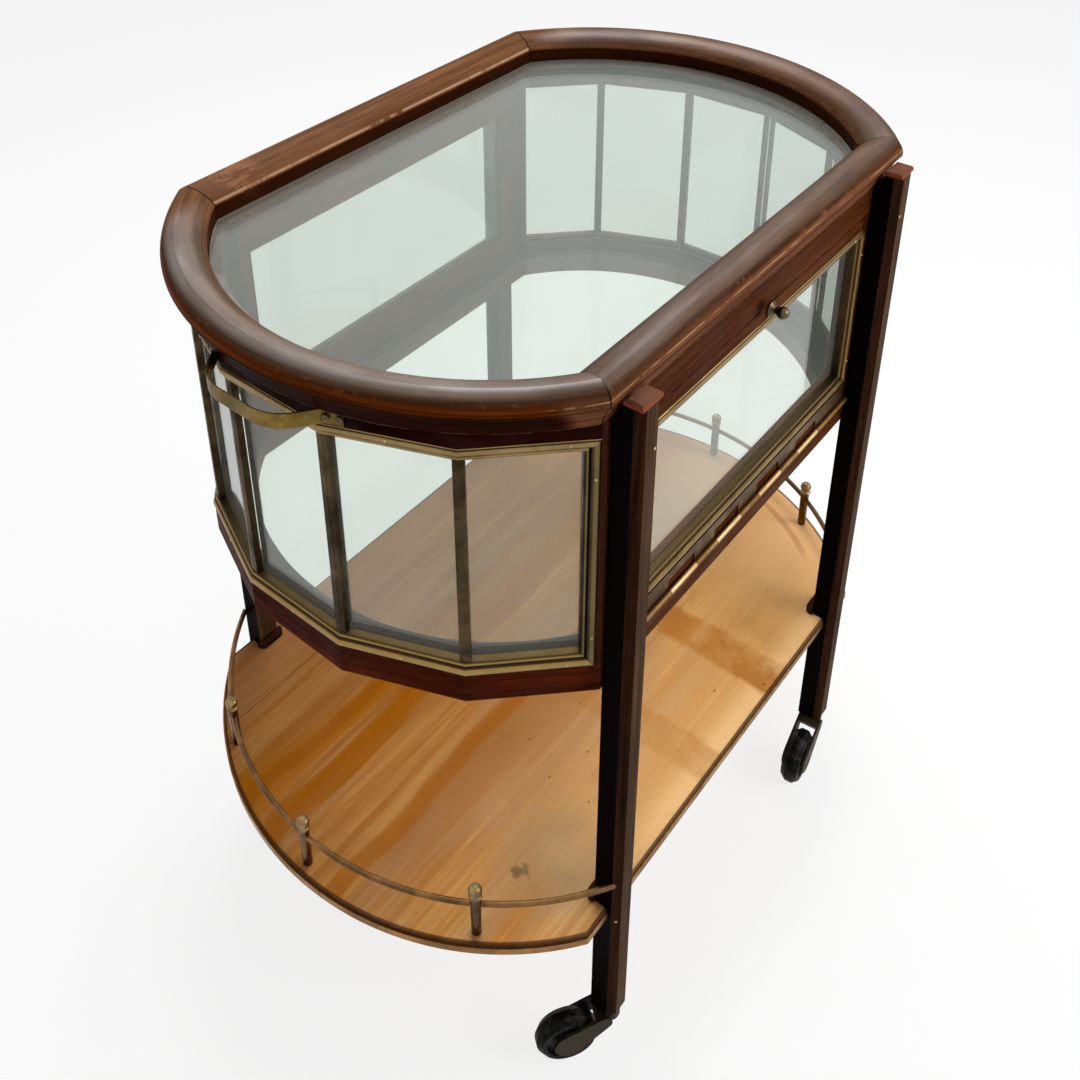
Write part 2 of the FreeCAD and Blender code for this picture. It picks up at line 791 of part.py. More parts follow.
# Legs
for name, (side_x, side_y) in CORNERS.items():
    leg = new_body("leg_" + name)
    half_width = dim.leg_width / 2
    half_depth = dim.leg_depth / 2
    flat_x = half_width - dim.leg_chamfer_x
    flat_y = half_depth - dim.leg_chamfer_y
    notch_y = rim_inner_half + dim.rim_width + dim.leg_rim_gap - leg_centre_y
    cap_under = leg_top - dim.cap_height
    for level, top, inner in ((dim.leg_base, rim_under, -half_depth), (rim_under, cap_under, notch_y)):
        outline = new_sketch(leg, "XY_Plane", level)
        draw_loop(outline, [(-half_width, inner), (half_width, inner), (half_width, flat_y),
                            (flat_x, half_depth), (-flat_x, half_depth), (-half_width, flat_y)])
        extrude(leg, "Pad", outline, top - level)
    cap_outline = new_sketch(leg, "XY_Plane", cap_under)
    draw_loop(cap_outline, [(-half_width, notch_y), (half_width, notch_y),
                            (half_width, half_depth), (-half_width, half_depth)])
    extrude(leg, "Pad", cap_outline, dim.cap_height)
    socket = new_sketch(leg, "XY_Plane", dim.leg_base)
    draw_circle(socket, 0, 0, dim.stem_radius + dim.stem_play)
    extrude(leg, "Pocket", socket, dim.stem_length + dim.stem_end_room, flip=True)
    crest, sole, outer = number(leg_top), number(dim.leg_base), number(flat_y)
    near = Part.Precision.confusion()
    round_edges(leg, dim.cap_round, lambda edge: edge.BoundBox.ZMin > crest - near)
    round_edges(leg, dim.foot_round,
                lambda edge: edge.BoundBox.ZMax < sole + near and edge.BoundBox.YMin > outer - near)
    place(leg, leg_centre_x * side_x, leg_centre_y * side_y, 0, 0.0 if side_y > 0 else 180.0)


# Shelf
def notched_side(half):
    """Outline points along the back of the shelf, with the notches for its legs."""
    spots = []
    for first, last in ((-leg_outer_x, -leg_inner_x), (leg_inner_x, leg_outer_x)):
        spots += [(first, half), (first, case_half), (last, case_half), (last, half)]
    return spots


shelf = new_body("shelf_panel")
shelf_sketch = new_sketch(shelf, "XY_Plane", shelf_under)
shelf_corner_x = dim.end_centre + root(
    shelf_radius * shelf_radius - shelf_half * shelf_half)
back_side = notched_side(shelf_half)[::-1]
front_side = [(x, -y) for x, y in back_side[::-1]]
shelf_loop = [(-shelf_corner_x, -shelf_half)] + front_side + [(shelf_corner_x, -shelf_half)]
right_arc = len(shelf_loop) - 1
shelf_loop += [(shelf_corner_x, shelf_half)] + back_side + [(-shelf_corner_x, shelf_half)]
draw_loop(shelf_sketch, shelf_loop,
          {right_arc: (shelf_radius, 1), len(shelf_loop) - 1: (shelf_radius, 1)})
extrude(shelf, "Pad", shelf_sketch, dim.shelf_thickness)


# Brass edge of the shelf
def round_ended_face(half, radius, level):
    meet = arc_meets_side(radius, half)
    centre = number(dim.end_centre)
    radius = number(radius)
    right = [at_level(meet, level), Vector(centre + radius, 0, level), Vector(meet.x, -meet.y, level)]
    left = [Vector(-spot.x, spot.y, level) for spot in right]
    edges = [Part.Arc(*right).toShape(), Part.makeLine(right[2], left[2]),
             Part.Arc(*left[::-1]).toShape(), Part.makeLine(left[0], right[0])]
    return Part.Face(Part.Wire(edges))


strip_level = number(shelf_under + dim.strip_rise)
strip_rise = Vector(0, 0, number(dim.strip_height))
strip_outer = round_ended_face(shelf_half + dim.strip_thickness,
                               shelf_radius + dim.strip_thickness, strip_level)
strip_inner = round_ended_face(shelf_half, shelf_radius, strip_level)
strip = strip_outer.cut(strip_inner).extrude(strip_rise)
for side_x, side_y in CORNERS.values():
    first_x = min(number(leg_inner_x) * side_x, number(leg_outer_x) * side_x)
    first_y = min(number(case_half) * side_y, number(leg_outer_y) * side_y)
    strip = strip.cut(Part.makeBox(number(dim.leg_width), number(dim.leg_depth), number(dim.strip_height),
                                   Vector(first_x, first_y, strip_level)))
strip_parts = sorted(strip.Solids, key=lambda item: item.CenterOfMass.x)
solid("shelf_edge_left", strip_parts[0])
solid("shelf_edge_right", strip_parts[-1])
solid("shelf_edge_sides", Part.makeCompound(strip_parts[1:-1]))


# Wooden collars on the shelf round the legs
def collar_shape():
    low_x = number(leg_inner_x - dim.collar_side)
    width = number(dim.leg_width + dim.collar_side * 2)
    reach = number(dim.collar_reach)
    level = number(dim.shelf_top)
    collar = Part.makeBox(width, reach, number(dim.collar_height),
                          Vector(low_x, number(case_half) - reach, level))
    uprights = [edge for edge in collar.Edges
                if edge.BoundBox.ZLength > number(dim.collar_height) / 2
                and edge.BoundBox.YMin < number(case_half) - reach / 2]
    return collar.makeFillet(number(dim.collar_round), uprights)


solid("shelf_collars", Part.makeCompound([mirrored(collar_shape(), *sides) for sides in CORNERS.values()]))


# Gallery at each end of the shelf
def gallery_rail_shape(radius):
    level = number(dim.shelf_top + dim.gallery_rail_rise)
    reach = number(gallery_radius)
    centre = Vector(number(dim.end_centre), -reach, level)
    circle = Part.Face(Part.Wire(Part.Circle(centre, Vector(1, 0, 0), radius).toShape()))
    ring = circle.revolve(end_axis, UP, 180)
    start = number(leg_outer_x)
    room = 2 * reach
    return ring.common(Part.makeBox(room, 2 * room, room, Vector(start, -room, level - reach)))


def gallery_post(angle):
    """A turned post with a ring and a ball top, bored for the rail."""
    ball = number(dim.gallery_ball_radius)
    throat = number(dim.gallery_throat_radius)
    throat_top = number(dim.gallery_throat_height)
    ball_centre = throat_top + math.sqrt(ball ** 2 - throat ** 2)
    shaft = number(dim.gallery_post_radius)
    ring = number(dim.gallery_ring_radius)
    ring_low = number(dim.gallery_ring_low)
    ring_high = ring_low + number(dim.gallery_ring_height)

    def spot(radius, height):
        return Vector(radius, 0, height)

    corners = [spot(0, 0), spot(number(dim.gallery_foot_radius), 0), spot(shaft, ring_low)]
    edges = [Part.makeLine(start, end) for start, end in zip(corners, corners[1:])]
    edges += [
        Part.Arc(corners[-1], spot(ring, (ring_low + ring_high) / 2), spot(shaft, ring_high)).toShape(),
        Part.makeLine(spot(shaft, ring_high), spot(throat, throat_top)),
        Part.Arc(spot(throat, throat_top), spot(ball, ball_centre), spot(0, ball_centre + ball)).toShape(),
        Part.makeLine(spot(0, ball_centre + ball), corners[0]),
    ]
    post = Part.Face(Part.Wire(edges)).revolve(ORIGIN, UP, 360)
    turn = math.radians(angle)
    reach = number(gallery_radius)
    post.translate(Vector(number(dim.end_centre) + reach * math.cos(turn), reach * math.sin(turn),
                          number(dim.shelf_top)))
    return post.cut(gallery_rail_shape(number(dim.gallery_rail_radius + dim.gallery_rail_play)))


both_ends("gallery_rail", gallery_rail_shape(number(dim.gallery_rail_radius)))
post_turns = (-number(dim.gallery_far_angle), 0.0, number(dim.gallery_near_angle))
both_ends("gallery_posts", Part.makeCompound([gallery_post(turn) for turn in post_turns]))


# Glazed frames of the door and the back, worked out facing the front
def frame_blank(stem, half, low, high):
    """A rebated frame with its opening, not yet divided into stiles and rails."""
    inner_half = half - dim.panel_stile
    inner_low = low + dim.panel_lower_rail
    inner_high = high - dim.panel_upper_rail
    outside = block(stem + "_blank", (-half, -case_half, low), (half, -wall_inner, high))
    opening = block(stem + "_opening",
                    (-inner_half, -case_half, inner_low), (inner_half, -wall_inner, inner_high))
    rebate = block(stem + "_rebate",
                   (-inner_half - dim.rebate_width, -case_half, inner_low - dim.rebate_width),
                   (inner_half + dim.rebate_width, -case_half + dim.rebate_depth,
                    inner_high + dim.rebate_width))
    return cut(stem + "_rebated", cut(stem + "_opened", outside, opening), rebate)


def frame_glass(label, half, low, high):
    reach = half - dim.panel_stile + dim.rebate_width - dim.pane_play
    first = low + dim.panel_lower_rail - dim.rebate_width + dim.pane_play
    last = high - dim.panel_upper_rail + dim.rebate_width - dim.pane_play
    return block(label,
                 (-reach, -case_half + pane_front, first), (reach, -case_half + dim.rebate_depth, last))


def frame_bead(half, low, high):
    """The bead round the opening of a frame, as one mitred loop."""
    reach = number(half - dim.panel_stile + dim.rebate_width)
    first = number(low + dim.panel_lower_rail - dim.rebate_width)
    last = number(high - dim.panel_upper_rail + dim.rebate_width)
    face = -number(case_half)
    spots = [Vector(0, face, last), Vector(reach, face, last), Vector(reach, face, first),
             Vector(-reach, face, first), Vector(-reach, face, last), Vector(0, face, last)]
    path = Part.makePolygon(spots)
    section = bead_section(lambda across, rise: Vector(0, face - rise, last - across))
    return path.makePipeShell([section], True, False, 1)


door_blank = frame_blank("door", door_half, panel_under, door_top)
door_inner_half = door_half - dim.panel_stile
knob_bore = rod("door_bore", dim.spindle_radius + dim.spindle_play, dim.wall_depth, dim.knob_side_set,
                -wall_inner, knob_height, tilt=90.0)
door_middle = (panel_under + door_top) / 2
door_zones = {
    "door_stile_left": ((-door_half, panel_under), (-door_inner_half, door_top)),
    "door_stile_right": ((door_inner_half, panel_under), (door_half, door_top)),
    "door_rail_lower": ((-door_inner_half, panel_under), (door_inner_half, door_middle)),
    "door_rail_upper_plain": ((-door_inner_half, door_middle), (door_inner_half, door_top)),
}
for label, ((low_x, low_z), (high_x, high_z)) in door_zones.items():
    zone = block(label + "_zone", (low_x, -case_half, low_z), (high_x, -wall_inner, high_z))
    door_piece = common(label, door_blank, zone)
cut("door_rail_upper", door_piece, knob_bore)
frame_glass("door_glass", door_half, panel_under, door_top)
solid("door_bead", frame_bead(door_half, panel_under, door_top))

back_frame = frame_blank("back", post_inner_x, base_top, top_rail_under)
back_frame.Label = "back_frame"
back_glass = frame_glass("back_glass", post_inner_x, base_top, top_rail_under)
back_bead = solid("back_bead", frame_bead(post_inner_x, base_top, top_rail_under))
for item in (back_frame, back_bead):
    item.Placement = Placement(ORIGIN, Rotation(UP, 180.0))
place(back_glass, -post_inner_x + dim.panel_stile - dim.rebate_width + dim.pane_play,
      case_half - dim.rebate_depth, base_top + dim.panel_lower_rail - dim.rebate_width + dim.pane_play)


# Door hinge
def hinge_tube(first, last, bore):
    """A length of the hinge barrel along the width of the door."""
    spot = Vector(first, -number(hinge_y), number(hinge_z))
    along = Vector(1, 0, 0)
    tube = Part.makeCylinder(number(dim.barrel_radius), last - first, spot, along)
    return tube.cut(Part.makeCylinder(bore, last - first, spot, along)) if bore else tube


knuckle_half = number(dim.knuckle_length) / 2
knuckle_middles = [(index - (KNUCKLES - 1) / 2) * number(dim.knuckle_pitch) for index in range(KNUCKLES)]
leaf_half = number(door_half - dim.leaf_end_gap)
leaf_front = -number(case_half + dim.leaf_thickness)
leaf_low = number(hinge_z)
leaf_height = number(dim.panel_lower_rail - dim.rebate_width)
notch_half = knuckle_half + number(dim.knuckle_gap)
door_leaf = Part.makeBox(2 * leaf_half, number(dim.leaf_thickness), leaf_height,
                         Vector(-leaf_half, leaf_front, leaf_low))
pin_hole = number(dim.hinge_pin_radius + dim.hinge_pin_play)
edges_x = [-leaf_half]
for middle in knuckle_middles:
    notch = Part.makeBox(2 * notch_half, number(dim.leaf_thickness), number(dim.leaf_notch_height),
                         Vector(middle - notch_half, leaf_front, leaf_low))
    door_leaf = door_leaf.cut(notch)
    edges_x += [middle - notch_half, middle + notch_half]
edges_x.append(leaf_half)
for first, last in zip(edges_x[0::2], edges_x[1::2]):
    door_leaf = door_leaf.fuse(hinge_tube(first, last, 0.0))
pin_start = Vector(-leaf_half, -number(hinge_y), number(hinge_z))
door_leaf = door_leaf.cut(Part.makeCylinder(pin_hole, 2 * leaf_half, pin_start, Vector(1, 0, 0)))
solid("hinge_door_leaf", door_leaf.removeSplitter())

case_leaf = Part.makeBox(2 * leaf_half, number(dim.case_leaf_width), number(dim.case_leaf_thickness),
                         Vector(-leaf_half, -number(case_half), number(base_top)))
for middle in knuckle_middles:
    tongue = Part.makeBox(2 * knuckle_half, number(hinge_y - case_half), number(dim.case_leaf_thickness),
                          Vector(middle - knuckle_half, -number(hinge_y), number(base_top)))
    case_leaf = case_leaf.fuse([tongue, hinge_tube(middle - knuckle_half, middle + knuckle_half, 0.0)])
hinge_pin = Part.makeCylinder(number(dim.hinge_pin_radius), 2 * leaf_half, pin_start, Vector(1, 0, 0))
solid("hinge_case_leaf", case_leaf.fuse(hinge_pin).removeSplitter())

# Door knob with spindle and latch, turned about its own upright axis and then laid over
knob = new_body("door_knob")
spindle_end = -dim.wall_depth - dim.latch_gap - dim.latch_thickness
rose_low = dim.knob_gap
ball_meets_neck = dim.knob_ball_reach - root(
    dim.knob_ball_radius * dim.knob_ball_radius - dim.knob_neck_radius * dim.knob_neck_radius)
ball_top = dim.knob_ball_reach + dim.knob_ball_radius
turned(knob, [(0, spindle_end), (dim.spindle_radius, spindle_end), (dim.spindle_radius, rose_low),
              (dim.knob_rose_radius, rose_low), (dim.knob_rose_radius, dim.knob_rose_edge),
              (dim.knob_rose_shoulder, dim.knob_rose_height), (dim.knob_neck_radius, dim.knob_neck_low),
              (dim.knob_neck_radius, ball_meets_neck),
              (dim.knob_ball_radius, dim.knob_ball_reach), (0, ball_top)],
       {7: (dim.knob_ball_radius, 1), 8: (dim.knob_ball_radius, 1)})
latch_sketch = new_sketch(knob, "XY_Plane", spindle_end)
draw_loop(latch_sketch, [(-dim.latch_half_width, -dim.latch_half_width),
                         (dim.latch_length, -dim.latch_half_width),
                         (dim.latch_length, dim.latch_half_width),
                         (-dim.latch_half_width, dim.latch_half_width)])
extrude(knob, "Pad", latch_sketch, dim.latch_thickness)
place(knob, dim.knob_side_set, -case_half, knob_height, tilt=90.0)


# Push handle on the left end
def rounded_path(spots, radii):
    """Straight runs joined by arcs at the inner points."""
    edges = []
    start = spots[0]
    for before, spot, after, radius in zip(spots, spots[1:], spots[2:], radii):
        back = (before - spot).normalize()
        ahead = (after - spot).normalize()
        half_angle = back.getAngle(ahead) / 2
        run = radius / math.tan(half_angle)
        first = spot + back * run
        last = spot + ahead * run
        bisector = (back + ahead).normalize()
        centre = spot + bisector * (radius / math.sin(half_angle))
        middle = centre - bisector * radius
        edges.append(Part.makeLine(start, first))
        edges.append(Part.Arc(first, middle, last).toShape())
        start = last
    edges.append(Part.makeLine(start, spots[-1]))
    return Part.Wire(edges)


def handle_shape():
    level = number(handle_level - dim.strap_height / 2)
    half_strap = number(dim.strap_thickness) / 2
    _, along, outward = facet_axes(FACETS // 2 + 1)
    corner = facet_corner(FACETS // 2 + 1) + outward * half_strap
    foot_in = corner + along * number(dim.handle_foot_start)
    foot_out = foot_in + along * number(dim.handle_foot_length)
    front_x = number(dim.end_centre + case_apothem + dim.handle_reach)
    bow = Vector(front_x, number(dim.handle_half_span), 0)
    upper = [at_level(spot, level) for spot in (foot_out, foot_in, bow)]
    lower = [Vector(spot.x, -spot.y, spot.z) for spot in upper[::-1]]
    foot_round = number(dim.handle_foot_round)
    bow_round = number(dim.handle_bow_round)
    path = rounded_path(upper + lower, [foot_round, bow_round, bow_round, foot_round])
    face = path.makeOffset2D(half_strap, fill=True, openResult=True)
    return face.extrude(Vector(0, 0, number(dim.strap_height)))


solid("handle", turned_about(handle_shape(), ENDS["left"]))


# Casters
def cheek_loop():
    """Two rounds joined by their outer tangents, the upper near the swivel axis, the lower on the axle."""
    high, low = dim.cheek_high_radius, dim.cheek_low_radius
    run = dim.caster_trail - dim.cheek_high_set
    fall = cheek_high_level - axle_level
    length = root(run * run + fall * fall)
    lean = (high - low) / length
    side = root(as_size(1) - lean * lean)
    along_x, along_z = run / length, -fall / length
    spots = []
    for sign in (1, -1):
        normal_x = along_x * lean - along_z * side * sign
        normal_z = along_z * lean + along_x * side * sign
        spots.append(((dim.cheek_high_set + normal_x * high, cheek_high_level + normal_z * high),
                      (dim.caster_trail + normal_x * low, axle_level + normal_z * low)))
    (upper_start, upper_end), (lower_start, lower_end) = spots
    return [upper_start, lower_start, lower_end, upper_end]


fork_half = dim.wheel_width / 2 + dim.fork_side_play
for name, (side_x, side_y) in CORNERS.items():
    turn = CASTER_TURNS[name]
    swivel_x = leg_centre_x * side_x
    swivel_y = leg_centre_y * side_y
    fork = new_body("fork_" + name)
    cheek = new_sketch(fork, "XZ_Plane")
    draw_loop(cheek, cheek_loop())
    extrude(fork, "Pad", cheek, (fork_half + dim.cheek_thickness) * 2, symmetric=True)
    for round_x, round_z, radius in ((dim.cheek_high_set, cheek_high_level, dim.cheek_high_radius),
                                     (dim.caster_trail, axle_level, dim.cheek_low_radius)):
        boss = new_sketch(fork, "XZ_Plane")
        draw_circle(boss, round_x, round_z, radius)
        extrude(fork, "Pad", boss, (fork_half + dim.cheek_thickness) * 2, symmetric=True)
    crown = new_sketch(fork, "XY_Plane", crown_top - dim.crown_height)
    draw_circle(crown, 0, 0, dim.crown_radius)
    extrude(fork, "Pad", crown, dim.crown_height)
    wheel_room = new_sketch(fork, "XZ_Plane")
    draw_circle(wheel_room, dim.caster_trail, axle_level, dim.wheel_radius + dim.fork_wheel_play)
    extrude(fork, "Pocket", wheel_room, fork_half * 2, symmetric=True)
    axle = new_sketch(fork, "XZ_Plane")
    draw_circle(axle, dim.caster_trail, axle_level, dim.axle_radius)
    extrude(fork, "Pad", axle, (fork_half + dim.cheek_thickness) * 2, symmetric=True)
    stem = new_sketch(fork, "XY_Plane", crown_top)
    draw_circle(stem, 0, 0, dim.stem_radius)
    extrude(fork, "Pad", stem, dim.ferrule_height + dim.crown_gap + dim.stem_length)
    place(fork, swivel_x, swivel_y, 0, turn)

    wheel = new_body("wheel_" + name)
    bore = dim.axle_radius + dim.axle_play
    half_width = dim.wheel_width / 2
    half_tread = dim.wheel_tread / 2
    near_side = [(bore, half_width), (dim.wheel_hub_radius, half_width),
                 (dim.wheel_hub_radius + (half_width - dim.wheel_web_half) / 2, dim.wheel_web_half),
                 (dim.wheel_rim_inner, dim.wheel_web_half),
                 (dim.wheel_rim_inner + (half_width - dim.wheel_web_half) / 2, half_width),
                 (dim.wheel_shoulder, half_width), (dim.wheel_radius, half_tread)]
    far_side = [(radius, -height) for radius, height in near_side[::-1]]
    turned(wheel, near_side + far_side)
    trail = math.radians(turn)
    place(wheel, swivel_x + dim.caster_trail * math.cos(trail), swivel_y + dim.caster_trail * math.sin(trail),
          axle_level, turn, 90.0)


def ferrule_shape(side_x, side_y):
    spot = Vector(number(leg_centre_x) * side_x, number(leg_centre_y) * side_y,
                  number(dim.leg_base - dim.ferrule_height))
    height = number(dim.ferrule_height)
    cone = Part.makeCone(number(dim.ferrule_low_radius), number(dim.ferrule_top_radius), height, spot)
    return cone.cut(Part.makeCylinder(number(dim.stem_radius + dim.stem_play), height, spot))


solid("caster_ferrules", Part.makeCompound([ferrule_shape(*sides) for sides in CORNERS.values()]))

# Pieces that go out, each in a file of its own name
NODES = [
    "rim_front", "rim_back", "rim_left", "rim_right", "top_glass",
    "frieze_left", "frieze_right", "top_rail_front", "top_rail_back",
    "base_front", "base_back", "base_left", "base_right", "floor_glass",
    "end_panes_left", "end_panes_right", "glazing_bars_left", "glazing_bars_right",
    "end_bead_left", "end_bead_right",
    "shelf_panel", "shelf_edge_left", "shelf_edge_right", "shelf_edge_sides", "shelf_collars",
    "gallery_rail_left", "gallery_rail_right", "gallery_posts_left", "gallery_posts_right",
    "door_stile_left", "door_stile_right", "door_rail_lower", "door_rail_upper",
    "door_glass", "door_bead", "door_knob", "hinge_door_leaf", "hinge_case_leaf",
    "back_frame", "back_glass", "back_bead", "handle", "caster_ferrules",
]
for stem in ("post", "leg", "fork", "wheel"):
    NODES += ["%s_%s" % (stem, name) for name in CORNERS]

doc.recompute()
for item in doc.Objects:
    if "Invalid" in item.State or "Error" in item.State:
        raise RuntimeError("%s did not build" % item.Label)
os.makedirs("parts", exist_ok=True)
for label in NODES:
    piece = doc.getObjectsByLabel(label)[0]
    if piece.Shape.isNull() or not piece.Shape.isValid():
        raise RuntimeError("%s has no sound shape" % label)
    piece.Shape.exportStep("parts/%s.step" % label)
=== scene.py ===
import math

import bpy
from mathutils import Matrix, Vector


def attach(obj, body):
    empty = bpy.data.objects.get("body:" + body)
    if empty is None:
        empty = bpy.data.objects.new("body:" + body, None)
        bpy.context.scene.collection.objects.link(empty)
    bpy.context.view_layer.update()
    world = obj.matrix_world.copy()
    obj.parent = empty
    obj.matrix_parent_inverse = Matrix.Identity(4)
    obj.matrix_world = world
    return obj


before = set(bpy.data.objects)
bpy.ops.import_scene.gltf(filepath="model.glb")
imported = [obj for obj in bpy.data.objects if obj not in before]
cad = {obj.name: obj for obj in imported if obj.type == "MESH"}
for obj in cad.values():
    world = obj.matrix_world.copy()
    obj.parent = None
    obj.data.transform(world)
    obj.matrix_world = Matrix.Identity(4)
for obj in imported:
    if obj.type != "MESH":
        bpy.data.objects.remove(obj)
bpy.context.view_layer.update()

# Sizes of the cart that its looks follow, metres
END_CENTRE = 0.072
CASE_RADIUS = 0.256
FACET_ANGLE = math.radians(22.5)
FACETS = 5
CASE_APOTHEM = CASE_RADIUS * math.cos(FACET_ANGLE / 2)
FACET_HALF = CASE_RADIUS * math.sin(FACET_ANGLE / 2)
CASE_HALF = CASE_RADIUS * math.sin(FACET_ANGLE * FACETS / 2)
POST_SHOW = 0.0035
BASE_TOP = 0.499
FRIEZE_UNDER = 0.712
BEAD_PROUD = 0.0012
BEAD_CROWN = 0.0036
BEAD_FILLET = 0.0004
BEAD_GROOVE = 0.0012
BEAD_QUIRK = 0.0074
BEAD_LIP = 0.0093
BEAD_REVEAL = (0.0100, 0.0112)
DOOR_BEAD = (0.183526, 0.5205, 0.6885)
BACK_BEAD = (0.185026, 0.519, 0.690)
HINGE_FACE = 0.2144
RIM_INNER_CORNER = (0.21206, 0.18496)
RIM_MITRE_SLOPE = (0.9517, -0.3069)
RIM_FRONT_EDGE = (-0.205, -0.195)
RIM_BACK_ARRIS = 0.1864
RIM_RUB_LEVEL = 0.7515
RIM_WALL_FOOT = (0.7285, 0.7295)
RIM_WALL_HEAD = (0.7465, 0.7485)
SHELF_TOP = 0.213
SHELF_HALF = 0.22496
SHELF_RADIUS = 0.280
GALLERY_HEAD = SHELF_TOP + 0.046
LEG_X = 0.199026
LEG_DEPTH = 0.024
LEG_CHAMFER = (0.0095, 0.0205)
LEG_CHAMFER_FACING = (0.8137, 0.5812)
LEG_CAP = 0.742
HANDLE_LEVEL = 0.720
HANDLE_STRAP = 0.0032

# Places of wear, stains and painted shadows, metres
FINGER_MARK_AND_KNOB_SHADOW = (-0.010, -0.213, 0.706)
BARE_PATCH = (-0.178, 0.203, 0.757)
INK_BLOT = (-0.231, -0.149, SHELF_TOP)
LEG_SHADOW_SPOT = (-0.195, -0.170, SHELF_TOP)
BOARD_JOINT = 0.160
GALLERY_SHADOW_REACH = 0.250

# Places of pins and screws and the sizes of their heads, metres
PIN_SUNK = 0.0002
END_PIN_FROM_BASE = 0.030
END_PIN_FROM_FRIEZE = 0.034
FRAME_PIN_INSET = 0.022
FRAME_PIN_FROM_CORNER = 0.026
HANDLE_SCREWS = (0.0085, 0.0185)
SHELF_SCREW_LEVEL = 0.2
CASE_SCREW_LEVEL = 0.703
CASE_SCREW_INSET = 0.0045
PIN_HEAD = {"radius": 0.0013, "height": 0.0008}
HANDLE_SCREW_HEAD = {"radius": 0.0029, "height": 0.0011, "slot": 0.0008}
LEG_SCREW_HEAD = {"radius": 0.0014, "height": 0.0007, "slot": 0.0005}


# Helpers for node trees
def feed(tree, socket, value):
    """Link a socket to another, or set its plain value."""
    if isinstance(value, bpy.types.NodeSocket):
        tree.links.new(value, socket)
    else:
        socket.default_value = value


def put(tree, kind, inputs=None, **settings):
    """A new node with its settings and inputs."""
    node = tree.nodes.new(kind)
    for key, value in settings.items():
        setattr(node, key, value)
    for key, value in (inputs or {}).items():
        feed(tree, node.inputs[key], value)
    return node


def calc(tree, operation, *values):
    node = put(tree, "ShaderNodeMath", operation=operation)
    for socket, value in zip(node.inputs, values):
        feed(tree, socket, value)
    return node.outputs[0]


def times(tree, first, *others):
    for value in others:
        first = calc(tree, "MULTIPLY", first, value)
    return first


def most(tree, first, *others):
    for value in others:
        first = calc(tree, "MAXIMUM", first, value)
    return first


def without(tree, mask):
    return calc(tree, "SUBTRACT", 1.0, mask)


def size_of(tree, value):
    return calc(tree, "ABSOLUTE", value)


def slant(tree, across, beside):
    """Length of the straight way over two square steps."""
    return calc(tree, "SQRT", calc(tree, "ADD", times(tree, across, across), times(tree, beside, beside)))


def blend(tree, factor, first, second, way="MIX"):
    node = put(tree, "ShaderNodeMix", {0: factor, 6: first, 7: second}, data_type="RGBA", blend_type=way)
    return node.outputs[2]


def lay(tree, tone, over, *masks):
    """A tone with another laid over it, as strongly as the masks allow together."""
    return blend(tree, times(tree, *masks), tone, over)


def span(tree, value, low, high, first=0.0, last=1.0):
    """Turn a value into a soft step between two marks."""
    node = put(tree, "ShaderNodeMapRange",
               {"Value": value, "From Min": low, "From Max": high, "To Min": first, "To Max": last},
               interpolation_type="SMOOTHSTEP")
    return node.outputs["Result"]


def band(tree, value, centre, half, soft):
    """One inside a strip of values, falling to nothing beside it."""
    offset = size_of(tree, calc(tree, "SUBTRACT", value, centre))
    return span(tree, offset, half, half + soft, 1.0, 0.0)


def away(tree, spot, point):
    return put(tree, "ShaderNodeVectorMath", {0: spot, 1: point}, operation="DISTANCE").outputs["Value"]


def mottle(tree, vector, scale, detail=3.0, roughness=0.55, distortion=0.0):
    node = put(tree, "ShaderNodeTexNoise",
               {"Vector": vector, "Scale": scale, "Detail": detail, "Roughness": roughness,
                "Distortion": distortion})
    return node.outputs["Fac"]


def stretched(tree, vector, scale, shift=(0.0, 0.0, 0.0), turn=(0.0, 0.0, 0.0)):
    node = put(tree, "ShaderNodeMapping",
               {"Vector": vector, "Scale": scale, "Location": shift, "Rotation": turn})
    return node.outputs["Vector"]


def streaks(tree, vector, scale, marks, detail=5.0, roughness=0.7, distortion=0.0, shift=(0.0, 0.0, 0.0)):
    """Soft steps between marks of a mottle that is stretched by its three scales."""
    drawn = mottle(tree, stretched(tree, vector, scale, shift), 1.0, detail, roughness, distortion)
    return span(tree, drawn, *marks)


def strayed(tree, value, noise, reach):
    """A value that strays to both sides with a noise."""
    return calc(tree, "ADD", value, times(tree, calc(tree, "SUBTRACT", noise, 0.5), reach))


def apart(tree, vector):
    return put(tree, "ShaderNodeSeparateXYZ", {"Vector": vector}).outputs


def colour(red, green, blue):
    return (red, green, blue, 1.0)


def new_group(name, inputs, outputs):
    tree = bpy.data.node_groups.new(name, "ShaderNodeTree")
    for label, kind, value in inputs:
        socket = tree.interface.new_socket(label, in_out="INPUT", socket_type=kind)
        if value is not None:
            socket.default_value = value
    for label in outputs:
        kind = "NodeSocketVector" if label == "Vector" else "NodeSocketFloat"
        tree.interface.new_socket(label, in_out="OUTPUT", socket_type=kind)
    return tree, put(tree, "NodeGroupInput").outputs, put(tree, "NodeGroupOutput").inputs


# Effects that several finishes share
VECTOR_INPUT = ("Vector", "NodeSocketVector", None)


def make_unrolled_end():
    """Coordinates that run along a round end: along the arc, out from the centre, up."""
    tree, given, result = new_group("unrolled_end", [VECTOR_INPUT], ["Vector"])
    x, y, z = apart(tree, given["Vector"])
    across = calc(tree, "SUBTRACT", size_of(tree, x), END_CENTRE)
    arc = times(tree, calc(tree, "ARCTAN2", y, across), CASE_RADIUS)
    joined = put(tree, "ShaderNodeCombineXYZ", {"X": arc, "Y": slant(tree, across, y), "Z": z})
    feed(tree, result["Vector"], joined.outputs["Vector"])
    return tree


